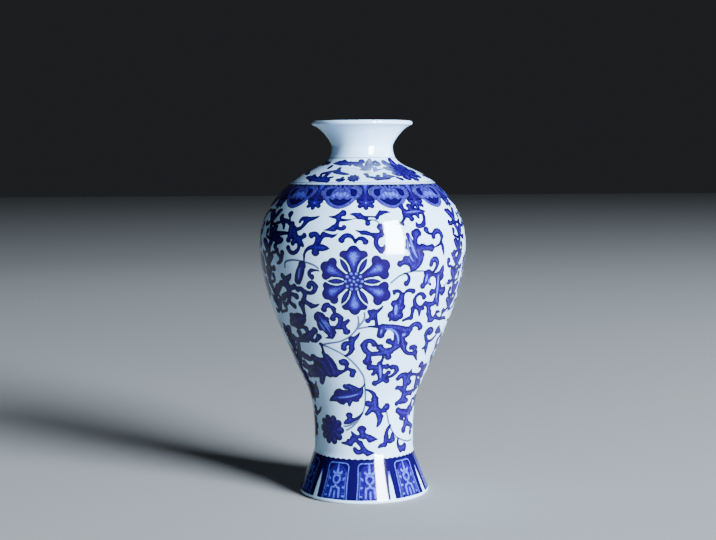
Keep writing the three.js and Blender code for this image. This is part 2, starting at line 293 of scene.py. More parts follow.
        (2.8, 69.8, 9.0, 75.0, -0.05, 1.1, 1.9, 2.6),
        (11.3, 82.0, 12.0, 73.5, 0.05, 2.1, 2.8, 2.4),
        (13.0, 74.5, 24.0, 71.8, -0.20, 1.9, 1.6, 1.4),
        (24.6, 75.0, 22.0, 72.3, -0.30, 2.2, 1.9, 1.3),
        (13.5, 73.0, 17.8, 66.5, 0.10, 2.2, 2.2, 2.0),
        (17.9, 67.0, 14.0, 59.0, 0.20, 2.0, 1.7, 0.3),
    ),
    "low_trefoil": (
        (-22.3, 61.8, -15.0, 64.5, 0.05, 0.3, 1.9, 1.9),
        (-16.0, 68.3, -15.5, 64.5, 0.00, 1.9, 1.8, 2.0),
        (-15.0, 64.8, -8.0, 66.2, -0.10, 1.8, 1.2, 0.9),
        (-8.0, 66.2, -1.5, 71.0, -0.15, 0.9, 0.8, 0.5),
    ),
    "ragged_acanthus": (
        (32.0, 98.7, 37.5, 100.3, 0.55, 1.7, 2.2, 2.2),
        (37.3, 100.3, 41.5, 93.0, 0.10, 2.2, 2.0, 2.2),
        (43.8, 104.3, 43.0, 99.0, 0.00, 0.6, 1.6, 2.4),
        (43.0, 100.0, 43.0, 90.0, 0.00, 2.6, 2.6, 2.2),
        (47.5, 93.3, 43.5, 96.0, 0.00, 1.8, 2.2, 2.4),
        (44.5, 100.0, 54.5, 99.3, 0.10, 1.4, 1.2, 1.2),
        (54.3, 99.5, 57.5, 94.0, 0.05, 1.2, 1.3, 1.5),
        (54.8, 107.5, 59.0, 103.0, 0.35, 2.2, 1.9, 1.1),
        (59.0, 103.3, 56.0, 100.0, 0.20, 1.0, 0.8, 0.8),
        (33.8, 90.3, 41.0, 88.0, 0.20, 1.4, 1.9, 2.4),
        (43.0, 90.0, 45.5, 80.0, 0.05, 2.3, 2.4, 3.2),
        (58.3, 82.6, 47.0, 83.5, -0.30, 1.1, 2.2, 2.8),
        (37.7, 77.0, 45.0, 78.8, 0.20, 1.5, 1.9, 2.4),
        (44.0, 78.8, 53.0, 77.8, 0.00, 2.4, 2.6, 1.8),
    ),
    "leaf_by_waist": (
        (40.3, 71.0, 50.0, 68.0, -0.10, 1.8, 2.8, 3.0),
        (49.0, 67.5, 62.0, 67.0, 0.00, 3.0, 3.6, 3.0),
        (64.0, 77.8, 62.0, 70.0, 0.00, 1.0, 2.0, 3.0),
        (63.0, 77.3, 80.0, 79.0, 0.10, 0.8, 0.7, 0.8),
        (60.0, 70.0, 70.0, 68.5, 0.00, 2.6, 2.4, 0.8),
        (44.5, 64.5, 50.0, 62.3, 0.00, 1.0, 1.4, 0.6),
        (52.0, 54.5, 57.0, 62.0, 0.00, 2.2, 2.4, 3.0),
        (55.0, 60.0, 75.0, 54.0, 0.00, 2.2, 1.8, 1.6),
        (68.0, 51.0, 68.0, 54.0, 0.00, 2.0, 2.0, 1.6),
    ),
    "sprigs_over_foot": (
        (-2.3, 56.8, -1.5, 52.5, 0.00, 2.6, 2.2, 1.8),
        (-1.5, 52.0, -9.0, 51.3, 0.00, 1.8, 1.3, 1.3),
        (-8.5, 51.3, -14.2, 55.6, 0.15, 1.3, 1.2, 0.4),
        (0.0, 52.8, 8.0, 49.8, 0.05, 1.6, 2.0, 2.2),
        (7.5, 49.8, 16.0, 49.2, 0.00, 2.2, 1.2, 0.2),
        (-26.0, 46.0, -15.5, 46.8, -0.10, 0.2, 1.3, 2.3),
        (-15.5, 47.0, -11.0, 50.0, -0.10, 2.3, 2.2, 1.8),
        (-12.0, 50.0, -4.0, 45.8, 0.10, 1.8, 1.4, 1.4),
        (-4.3, 46.3, 1.5, 40.5, -0.05, 1.5, 1.6, 1.7),
        (-10.5, 41.8, -3.0, 39.5, -0.50, 1.2, 1.9, 1.6),
        (-1.0, 40.5, 5.0, 38.3, -0.05, 1.8, 1.9, 1.7),
        (4.5, 38.4, 11.5, 38.4, 0.00, 1.7, 1.2, 0.3),
        (30.8, 59.5, 26.0, 50.0, -0.25, 0.7, 1.4, 1.6),
        (26.0, 50.5, 24.5, 44.0, 0.00, 1.6, 1.8, 1.6),
        (16.3, 42.3, 25.0, 44.3, 0.25, 0.3, 1.6, 1.4),
        (34.2, 52.3, 33.5, 48.0, 0.00, 1.2, 1.7, 1.9),
        (34.0, 48.0, 28.0, 47.5, 0.35, 1.9, 1.9, 1.6),
        (52.5, 39.8, 46.0, 39.5, 0.00, 2.6, 2.4, 1.9),
        (47.0, 39.0, 42.5, 47.8, 0.35, 1.9, 1.3, 0.9),
    ),
    "left_lotus": (
        (-31.0, 120.0, -25.0, 103.0, 0.15, 1.2, 4.2, 3.2),
        (-33.0, 112.0, -30.0, 103.0, 0.00, 3.0, 4.5, 3.5),
        (-41.0, 115.0, -33.0, 112.0, 0.00, 2.5, 2.8, 3.0),
        (-40.0, 108.0, -35.0, 103.0, 0.00, 3.0, 3.5, 3.0),
        (-37.0, 104.0, -42.0, 94.5, 0.10, 3.0, 2.6, 1.9),
        (-55.0, 99.5, -42.0, 102.5, 0.10, 1.6, 3.4, 3.6),
        (-55.0, 109.0, -50.0, 103.5, 0.00, 2.2, 3.2, 3.4),
        (-48.0, 106.5, -44.5, 107.0, 0.00, 1.6, 2.2, 2.0),
        (-52.0, 116.0, -46.5, 114.0, 0.00, 2.6, 3.0, 2.4),
        (-57.0, 119.0, -53.0, 127.0, 0.00, 1.8, 2.2, 2.0),
        (-56.0, 131.0, -52.0, 128.5, 0.00, 1.6, 1.8, 1.6),
        (-54.0, 128.5, -42.0, 129.5, 0.05, 2.0, 2.0, 2.0),
        (-47.8, 135.0, -47.4, 130.5, 0.00, 2.0, 2.2, 2.2),
        (-42.0, 132.0, -37.0, 135.0, 0.00, 2.6, 3.0, 2.6),
        (-33.0, 138.5, -37.0, 135.0, 0.00, 1.8, 2.2, 2.6),
        (-37.5, 130.5, -38.0, 134.0, 0.00, 1.6, 2.0, 2.4),
        (-40.0, 139.0, -39.0, 135.0, 0.00, 1.8, 2.0, 2.4),
        (-31.0, 133.5, -35.5, 129.0, 0.10, 1.7, 1.5, 1.1),
        (-31.0, 127.2, -30.7, 126.8, 0.00, 1.3, 1.3, 1.3),
        (-30.5, 127.0, -30.5, 121.0, 0.00, 1.0, 0.8, 1.2),
    ),
    "left_leaf": (
        (-54.0, 141.0, -47.0, 144.6, 0.15, 0.8, 3.8, 5.2),
        (-47.0, 145.0, -40.4, 147.4, 0.05, 5.2, 5.4, 3.4),
        (-50.5, 148.6, -47.5, 146.0, 0.10, 1.4, 2.0, 2.4),
        (-43.5, 141.2, -45.0, 144.0, 0.10, 1.6, 2.2, 2.6),
        (-38.5, 158.5, -38.0, 150.0, 0.00, 2.2, 1.6, 1.4),
    ),
    "left_curls_and_bud": (
        (-31.3, 173.6, -27.2, 173.0, 1.00, 1.5, 1.8, 1.8),
        (-27.2, 173.3, -32.0, 168.3, 0.45, 1.8, 1.5, 1.2),
        (-32.0, 168.3, -36.0, 169.3, 0.00, 1.2, 1.4, 1.6),
        (-39.3, 170.6, -34.8, 168.0, 0.50, 1.5, 1.8, 1.7),
        (-34.7, 168.5, -37.0, 162.0, 0.20, 1.7, 1.7, 1.8),
        (-36.0, 162.0, -31.0, 158.2, -0.10, 1.6, 1.8, 1.7),
        (-31.5, 158.3, -26.0, 160.0, -0.20, 1.7, 1.0, 0.2),
        (-34.3, 189.5, -38.3, 177.5, 0.00, 2.4, 3.7, 3.2),
        (-28.8, 180.9, -28.5, 186.0, 0.80, 1.5, 1.4, 1.1),
        (-28.7, 186.0, -23.6, 185.6, 0.10, 1.1, 0.6, 0.3),
    ),
    "far_left_acanthus": (
        (-50.0, 180.0, -46.5, 170.0, 0.20, 1.6, 2.6, 2.4),
        (-46.5, 170.5, -49.5, 160.0, 0.20, 2.4, 2.2, 1.0),
        (-43.0, 182.0, -49.0, 177.5, 0.25, 0.5, 2.2, 2.0),
        (-41.5, 172.5, -47.0, 171.0, 0.10, 1.6, 1.9, 1.8),
        (-41.5, 165.0, -47.5, 166.0, -0.20, 1.8, 1.5, 1.4),
        (-54.0, 174.5, -48.0, 172.0, 0.30, 0.4, 2.2, 1.8),
        (-54.5, 164.5, -48.5, 166.5, -0.20, 0.5, 2.0, 1.6),
        (-45.0, 157.0, -48.8, 162.0, 0.20, 1.6, 1.6, 1.2),
        (-54.0, 158.0, -49.5, 160.5, -0.40, 1.5, 1.2, 1.0),
        (-48.5, 198.0, -50.0, 192.5, 0.10, 1.6, 1.8, 1.4),
        (-53.0, 199.5, -50.2, 194.5, -0.10, 1.6, 1.4, 1.2),
        (-49.8, 192.8, -54.0, 190.0, 0.30, 1.4, 1.2, 0.4),
    ),
    "upper_left_acanthus": (
        (-37.2, 222.3, -33.2, 224.0, 0.65, 0.8, 1.4, 1.8),
        (-33.0, 224.2, -25.0, 226.8, -0.10, 1.8, 1.3, 0.2),
        (-32.8, 223.5, -36.0, 217.5, 0.15, 1.8, 1.5, 1.1),
        (-36.0, 217.6, -40.0, 216.5, 0.10, 1.1, 1.2, 1.6),
        (-42.6, 220.0, -42.2, 212.0, 0.00, 1.8, 2.9, 3.0),
        (-40.4, 217.0, -38.5, 209.0, 0.00, 1.6, 2.6, 3.0),
        (-32.9, 212.0, -37.5, 210.0, 0.20, 1.4, 1.6, 2.4),
        (-33.4, 204.6, -36.5, 208.5, 0.00, 0.9, 2.0, 2.6),
        (-40.2, 206.4, -38.8, 209.0, 0.00, 1.4, 1.8, 2.4),
        (-43.5, 202.2, -38.0, 199.6, -0.50, 1.4, 1.5, 1.4),
        (-38.0, 199.8, -36.0, 205.0, -0.35, 1.3, 1.3, 1.5),
        (-43.6, 208.8, -42.5, 213.0, 0.00, 1.6, 2.0, 2.4),
        (-55.5, 211.6, -45.0, 213.4, 0.08, 2.2, 1.5, 1.0),
        (-46.1, 227.6, -46.0, 227.0, 0.00, 1.9, 1.9, 1.8),
        (-46.0, 226.0, -44.6, 220.5, 0.10, 0.5, 0.5, 1.2),
        (-54.8, 225.2, -50.5, 222.0, 0.05, 0.3, 1.6, 2.0),
        (-50.5, 222.4, -45.0, 221.4, 0.20, 1.8, 1.5, 1.6),
        (-49.9, 221.5, -48.7, 217.4, 0.10, 1.6, 1.4, 1.2),
        (-53.0, 207.5, -49.0, 208.0, 0.00, 2.4, 2.6, 1.8),
    ),
}

# Pale veins and pockets that the brush left inside the dark leaves. The wider glow laid round them is partly
# painted light: lighter cobalt that stands in for the key lamp's light on the bud and the tall leaf
VEINS_AND_PAINTED_LIGHT = (
    (25.6, 229.0, 35.0, 229.8, 0.05, 0.2, 0.5, 0.2),
    (14.0, 140.6, 19.6, 133.4, 0.40, 0.3, 0.7, 0.2),
    (11.5, 140.0, 11.4, 136.6, 0.00, 0.3, 0.6, 0.2),
    (37.0, 181.4, 36.4, 175.6, 0.00, 0.4, 0.9, 0.3),
    (45.6, 178.5, 47.0, 161.5, 0.03, 0.3, 0.7, 0.3),
    (12.6, 110.5, 14.4, 100.0, 0.05, 0.3, 0.8, 0.3),
    (-26.4, 148.0, -22.0, 138.0, 0.05, 0.2, 0.6, 0.2),
    (23.8, 208.0, 27.4, 192.4, -0.20, 0.3, 0.7, 0.3),
    (25.6, 210.6, 29.6, 195.0, -0.12, 0.3, 0.8, 0.3),
    (19.2, 158.5, 19.4, 152.0, 0.00, 0.8, 1.2, 0.8),
    (39.3, 176.5, 39.7, 176.5, 0.00, 1.6, 1.6, 1.6),
    (45.5, 180.0, 47.0, 163.0, 0.00, 0.4, 0.6, 0.4),
    (-24.2, 147.0, -21.6, 141.4, 0.00, 0.2, 0.5, 0.2),
    (-28.2, 145.0, -25.4, 138.4, 0.00, 0.2, 0.5, 0.2),
    (17.0, 140.5, 24.5, 128.0, 0.30, 0.4, 0.6, 0.4),
    (27.3, 134.8, 27.7, 134.8, 0.00, 1.2, 1.2, 1.2),
    (-26.0, 83.0, -6.0, 86.5, -0.10, 0.4, 0.6, 0.4),
    (60.6, 64.0, 61.4, 64.0, 0.00, 1.6, 1.6, 1.6),
    (-36.0, 187.0, -37.8, 179.0, 0.00, 0.4, 0.7, 0.4),
)

# Thin grey-blue stems, each a run of points that the brush passed through
STEMS = (
    ((15, 176.5), (19.5, 181.5), (24, 183.8), (28, 184.8), (34, 184.6)),
    ((-30, 127), (-25, 128.3), (-20, 129.3), (-15, 130.8), (-10, 133.8), (-6, 138), (-3.5, 142),
     (-0.5, 146.5), (0.7, 150), (0.5, 154)),
    ((-4, 141), (-3, 146), (-3.3, 151), (-4, 154)),
    ((-4.5, 140.5), (-1, 141.5), (3.5, 142.4)),
    ((-30, 126.7), (-25, 125), (-20, 122.5), (-15, 119.5), (-11, 116.3), (-7, 112), (-3, 106.5),
     (0, 101), (0.9, 95), (1.5, 88), (1.5, 80), (0.5, 75), (-2, 70), (-7, 64), (-13, 59.5),
     (-20, 56.5), (-27, 55)),
    ((-27, 59.3), (-18, 60), (-10, 63.5), (-5, 68)),
    ((25.5, 70.5), (28, 64), (31, 58), (36, 52.5), (41, 49), (50, 46), (60, 44), (72, 43.5)),
    ((-47, 187), (-46, 191.5), (-40, 193.3), (-33, 192.3), (-27, 190), (-23.5, 186.5)),
    ((52, 171.5), (56, 174.5), (60, 176)),
)

# Distances to the paint in millimetres, one layer for each way of laying the cobalt
LAYERS = ("ink", "pale", "glow", "wash", "stem")
FAR = 4.0

# What the brush adds to the half width of a drawn stroke, by kind of motif
BRUSH_SWELL = 0.55
SPRAY_SWELL = 0.3
LEAF_SWELL = 0.5
# Spread of the glow round a vein, which is partly painted light: lighter cobalt where the lamp falls on the
# leaves
VEIN_GLOW_AND_PAINTED_LIGHT_SWELL = 1.3

# Half width of a thin stem, least one of a stroke, and white reserve round a flower
STEM_HALF_WIDTH = 0.8
THINNEST = 0.15
RESERVE = 1.1

# Dark edge of a stroke, and greatest half width of the bright core inside it
OUTLINE = 1.05
CORE = 1.5

# Bend from which a stroke is an arc in radians, least points of a stroke, and points in a radian
STRAIGHT = 0.01
FEWEST_POINTS = 5
POINTS_IN_RADIAN = 3.0

# A stroke that starts wider than this has a ball there, wider by this factor
BALL_FROM = 1.35
BALL_GROWTH = 1.35

# Motifs of the front that are laid again at the sides: name, turn away and lift
SIDE_MOTIFS = (
    ("ball_and_leaf_over_flower", 94.0, 0.0), ("hanging_ball_and_hook", 94.0, 0.0),
    ("c_scroll_over_flower", 94.0, 0.0), ("curls_on_flower", 96.0, 0.0),
    ("two_lobed_leaf", 122.0, 2.0), ("curl_and_trefoil", 100.0, -1.0),
    ("great_acanthus", 68.0, -1.0), ("c_scroll", 68.0, -1.0), ("upright_acanthus", 68.0, 0.0),
    ("hooked_leaf_sprig", 66.0, 0.0), ("serrated_leaf", 130.0, 0.0), ("low_trefoil", 128.0, 2.0),
    ("low_left_sprig", 116.0, 2.0),
)

# Upright sprays of leaves: turn, lowest and highest point, and reach of a leaf in degrees
LEAF_COLUMNS = ((64.0, 150.0, 232.0, 8.5), (-63.0, 150.0, 232.0, 9.0), (-64.0, 94.0, 140.0, 8.5),
                (65.0, 84.0, 118.0, 6.5))
COLUMN_STEP = 11.5

# Leaves and curls of one step of such a spray, with the turns as shares of the leaf's reach
COLUMN_MARKS = (
    (0.10, 2.0, 1.00, 10.6, 0.34, 1.2, 3.6, 0.2),
    (0.90, 1.0, 0.30, 4.0, 0.45, 1.8, 1.5, 1.2),
    (-0.10, 4.6, -0.70, 12.0, -0.30, 1.0, 2.6, 0.2),
    (-0.90, 6.4, -0.60, 2.2, -0.80, 1.9, 1.3, 1.0),
    (-0.60, 2.2, 0.00, 2.0, -0.35, 1.0, 1.0, 1.0),
)

# Petals of the open flower: way round from the right, length and spread
PETALS = ((90.0, 1.03, 1.0), (28.0, 1.15, 0.76), (-25.0, 1.13, 0.74),
          (-90.0, 0.96, 0.98), (206.0, 1.03, 0.80), (153.0, 1.07, 0.76))
SEPALS = 6

# Seeds of its head: number, distance from the middle, radius and the first one's way round
SEEDS = ((1, 0.0, 1.0, 0.0), (5, 3.1, 0.95, 18.0), (10, 6.3, 1.1, 0.0))

# Rings of petals drawn on a bloom: how many fewer than its lobes, then start, end and half width
# as shares of its radius
BLOOM_PETALS = ((0, 0.62, 0.98, 0.13), (2, 0.22, 0.40, 0.10))

# Blooms: turn, height, radius and lobes
PEONIES = ((-40.0, 56.0, 9.4, 10), (98.0, 56.0, 9.4, 10))
SHOULDER_BLOOMS = ((-7.6, 255.0, 4.0, 9), (48.0, 259.8, 12.6, 9))

# Leaves of the shoulder, left of the bud
SHOULDER_LEAVES = (
    (-46.0, 266.5, -29.0, 266.4, 0.05, 0.5, 2.6, 2.9),
    (-29.0, 266.4, -17.0, 266.0, -0.05, 2.8, 2.5, 1.9),
    (-18.0, 266.0, -15.8, 264.2, 0.00, 1.5, 1.2, 0.4),
    (-17.0, 266.4, -9.0, 266.2, 0.15, 1.7, 1.8, 2.0),
    (-44.8, 264.4, -43.6, 262.4, 0.00, 1.2, 1.8, 1.3),
    (-41.5, 258.6, -26.0, 260.8, 0.10, 1.6, 2.0, 1.8),
    (-27.8, 262.8, -27.5, 260.6, 0.00, 1.2, 1.6, 1.6),
    (-26.5, 259.6, -13.6, 258.0, -0.08, 1.8, 2.1, 1.2),
    (-58.0, 256.0, -46.0, 254.6, 0.05, 1.0, 2.6, 2.6),
    (-46.0, 254.4, -30.0, 253.4, 0.00, 2.6, 2.8, 2.3),
    (-51.0, 257.4, -47.0, 255.4, 0.00, 1.1, 1.6, 1.8),
    (-34.6, 258.2, -35.6, 254.4, 0.00, 1.5, 2.0, 2.2),
    (-41.0, 256.9, -40.0, 254.4, 0.00, 1.2, 1.7, 2.0),
    (-27.0, 255.9, -33.0, 254.6, 0.00, 1.0, 1.5, 1.8),
    (-29.4, 253.0, -33.0, 253.6, 0.00, 1.4, 1.8, 2.0),
)

# Curls and leaves of the shoulder between the bud and the peony
SHOULDER_SPRAY = (
    (-17.0, 255.6, -20.4, 254.0, 0.35, 1.2, 1.3, 1.3),
    (-20.4, 253.8, -15.6, 253.7, -0.50, 1.4, 1.4, 1.0),
    (-15.6, 253.8, -12.0, 254.9, 0.10, 0.8, 0.6, 0.5),
    (12.0, 269.0, 6.6, 261.4, -0.10, 1.2, 2.7, 2.2),
    (-1.4, 267.4, 3.4, 262.8, -0.45, 2.0, 1.9, 2.0),
    (0.2, 261.6, 7.0, 262.0, -0.30, 1.4, 2.0, 2.0),
    (3.4, 257.9, 4.2, 256.8, 0.00, 1.6, 1.6, 1.3),
    (4.0, 255.8, 12.0, 254.3, 0.30, 0.9, 1.5, 1.4),
    (12.0, 254.3, 14.4, 256.9, 0.30, 1.4, 1.2, 1.4),
    (13.0, 254.2, 21.0, 254.8, 0.15, 1.3, 2.2, 1.9),
    (21.2, 258.6, 22.0, 255.2, 0.00, 1.3, 2.5, 2.2),
    (22.0, 256.4, 30.0, 256.6, -0.10, 2.3, 1.8, 0.6),
    (14.6, 266.4, 20.6, 264.2, -0.40, 1.7, 1.5, 1.3),
    (20.6, 264.8, 30.0, 266.8, 0.10, 1.4, 2.0, 1.2),
    (20.6, 267.2, 29.0, 268.2, -0.75, 1.5, 1.3, 1.1),
    (-9.0, 266.2, -6.6, 264.2, -0.50, 1.8, 1.5, 1.2),
    (31.6, 265.0, 31.0, 268.4, 0.10, 1.5, 1.0, 1.1),
    (31.0, 267.4, 44.0, 267.8, 0.20, 1.1, 2.0, 0.6),
    (49.5, 267.4, 58.0, 268.6, 0.00, 1.1, 1.7, 0.6),
    (34.0, 254.0, 30.0, 256.6, 0.20, 1.4, 1.6, 0.9),
    (29.6, 258.8, 41.0, 259.8, 0.00, 1.5, 2.6, 2.8),
)

# Light strokes of the thinned cobalt on the shoulder
SHOULDER_WASHES = (
    (13.0, 264.0, 12.0, 259.8, 0.10, 0.8, 1.2, 0.8),
    (16.5, 263.4, 14.0, 260.4, 0.10, 0.7, 1.1, 0.8),
    (25.0, 262.0, 14.0, 260.4, -0.15, 0.5, 1.2, 0.8),
    (-14.0, 262.4, 8.0, 258.8, 0.15, 0.3, 0.4, 0.4),
)

# Ornament of a lappet: its arch, an inner line, curls and a leaf, drawn on both sides of the middle
LAPPET_MARKS = (
    (12.2, 3.0, 11.8, 26.4, 0.03, 0.35, 0.4, 0.4),
    (11.8, 26.4, 8.2, 30.3, -0.41, 0.4, 0.4, 0.4),
    (8.2, 30.3, 0.0, 30.4, 0.0, 0.4, 0.4, 0.4),
    (10.3, 3.4, 9.6, 24.0, 0.03, 0.15, 0.2, 0.2),
    (1.6, 22.6, 4.8, 24.2, -0.5, 0.5, 0.9, 0.4),
    (0.3, 21.0, 3.6, 18.6, 0.5, 0.5, 0.8, 0.5),
    (3.6, 18.6, 0.6, 15.2, 0.3, 0.5, 0.8, 0.5),
    (4.4, 4.8, 3.9, 12.0, 0.0, 0.5, 0.8, 0.6),
    (3.9, 12.0, 0.0, 14.2, 0.40, 0.6, 0.7, 0.6),
    (7.3, 12.6, 9.2, 12.2, 0.0, 0.5, 0.8, 0.4),
    (7.6, 6.0, 9.4, 6.0, 0.0, 0.5, 0.7, 0.4),
    (7.2, 17.6, 8.6, 19.4, 0.3, 0.4, 0.7, 0.4),
)
LAPPET_MIDDLE = ((0.0, 30.0, 0.0, 23.0, 0.0, 0.3, 0.6, 1.1), (0.0, 4.2, 0.0, 9.6, 0.0, 0.5, 0.8, 0.5))

# Field that the ornament stands on, as a bar, then the heights of the lappets and of the gaps between
# them, half widths of a gap from its bottom up, and waves of the upper edge in a turn
LAPPET_FIELD = (0.0 - 9.0j, 0.0 + 5.5j, 8.6, 8.0)
LAPPET_TOP = 33.5
LAPPET_BOTTOM = 3.2
LAPPET_GAP_TOP = 31.0
LAPPET_GAP_WIDTHS = (2.3, 0.9)
LAPPET_WAVES = 27.0

# Ruyi head: where its drawing starts and is cut off, and its bars on the right, each with its start
# and end from the middle, across and up, and its half widths there
RUYI_MIDDLE = 242.0
RUYI_TOP = 250.2
RUYI_COMMA = ((9.9 + 1.6j, 9.7 + 3.6j, 2.2, 2.6), (9.2 + 5.2j, 5.0 + 7.2j, 1.7, 0.5))
RUYI_DROPS = ((0.0 + 10.0j, 0.0 + 7.4j, 1.2, 0.4), (4.0 + 10.0j, 2.6 + 8.6j, 0.9, 0.4))
RUYI_STREAKS = ((0.0 - 1.4j, 0.0 + 2.4j, 0.4, 0.7), (2.8 + 0.2j, 3.0 + 3.0j, 0.6, 0.8),
                (5.2 - 0.8j, 6.0 + 1.2j, 0.7, 0.5))
RUYI_MIST = (0.0 + 1.0j, 4.6 + 1.2j, 4.2, 3.0)

# Small flower between two heads: petals, stalk, the stalk's bright top and the dot of its heart
PENDANT_PETALS = [(0.0, 237.0, away, height, 0.0, 2.6, 2.2, 2.0) for away, height in
                  ((-4.2, 237.6), (-3.6, 234.2), (0.0, 232.9), (3.6, 234.2), (4.2, 237.6))]
PENDANT_STALK = (0.0, 236.4, 0.0, 248.6, 0.0, 3.0, 1.6, 1.6)
PENDANT_TOP = (0.0, 241.5, 0.0, 249.8, 0.0, 0.4, 2.0, 3.2)
PENDANT_HEART = (236.6, 0.7)

# Rings drawn on the wheel: layer, height and half width
RINGS = (("stem", 270.6, 0.35), ("wash", 251.6, 0.38), ("wash", 250.4, 0.38))

# Places round the wall, in degrees
SCROLL_TURNS = (0.0, 180.0)
FLOWER_TURNS = (-5.0, 91.0)
FLOWER_HEIGHT = 178.0
LEAF_SPRAY_TURNS = (0.0, 130.0)
RUYI_FIRST = -14.5
RUYI_HEADS = 11
LAPPET_FIRST = 5.5
LAPPETS = 9
LAPPET_PITCH = 40.8

# How roundly shapes of a layer meet, in millimetres: drawn crisply, softly or with a full brush
CRISP = 0.1
SOFT = 0.2
BRUSHED = 0.5

# Reach of a stroke on the chart: only a short one may lie where the wall is at its narrowest
SHORT_STROKE = 0.05
SHORT_STROKE_RADIUS = 24.0
LONG_STROKE_RADIUS = 36.0
STROKE_MARGIN = 2.5

# Reaches of the outer line's spans, as in the CAD source
SPAN_REACHES = ((0.8, 0.08), (0.65, 0.4), (0.16, 0.42), (0.56, 0.12), (0.56, 0.61), (0.19, 0.13))
SPAN_STEPS = 60

# Points of a line nearer to a cut than this are left out, and how far the painted line draws in at
# the table
CUT_MARGIN = 0.01
FOOT_TUCK = 0.6

# Joints: name of the seam and of its height
SEAMS = {"foot": "foot_joint", "flank": "flank", "belly": "belly", "shoulder": "shoulder",
         "neck": "neck_joint"}

# Sections between two seams: node, lower and upper seam, and points round as a share of the belly's
SECTIONS = {"shoulder": ("shoulder", "neck", 0.73), "upper_belly": ("belly", "shoulder", 1.0),
            "lower_belly": ("flank", "belly", 1.0), "waist": ("foot", "flank", 0.75)}

# Points round the pieces that aren't such sections, and the step in which a section's go up
MOUTH_COLUMNS = 320
FOOT_COLUMNS = 480
FLOOR_COLUMNS = 96
SLIP_COLUMNS = 144
COLUMN_GROUP = 16

# Spacing of the unpainted points in millimetres
INNER_SPACING = 9.0
MOUTH_SPACING = 1.0
FOOT_SPACING = 1.6
RECESS_SPACING = 1.4

# Steps of the rounded edges, and points across a bead and the floor
LIP_STEPS = 14
EDGE_STEPS = 12
FILLET_STEPS = 6
BEAD_POINTS = 9
FLOOR_POINTS = 12

# Hollow under the middle of the floor, share of the fillet that is hollow, and run of slip on a sheet
FLOOR_HOLLOW = 0.25
FILLET_HOLLOW = 0.98
SLIP_OUTSIDE = 3.0

# Depth of the painted skin in millimetres, squeeze of the inside on the sheet, the sheet's margin,
# and the angle from which an edge is sharp
SKIN = 0.5
SHEET_SQUEEZE = 0.2
SHEET_MARGIN = 0.012
SHARP_ANGLE = math.radians(38.0)

# Radius in metres under which a point is on the axis, and a step too small to be seen
ON_AXIS = 1e-9
NUDGE = 1e-6


# Smooth least of two distances, which rounds the crotch where two strokes meet
def melt(first, second, reach):
    share = np.clip(0.5 + 0.5 * (second - first) / reach, 0.0, 1.0)
    return second + (first - second) * share - reach * share * (1.0 - share)


# Least of several distances: all the shapes together
def least(*shapes):
    return np.minimum.reduce(shapes)


# Greatest of several distances: what the shapes share
def most(*shapes):
    return np.maximum.reduce(shapes)


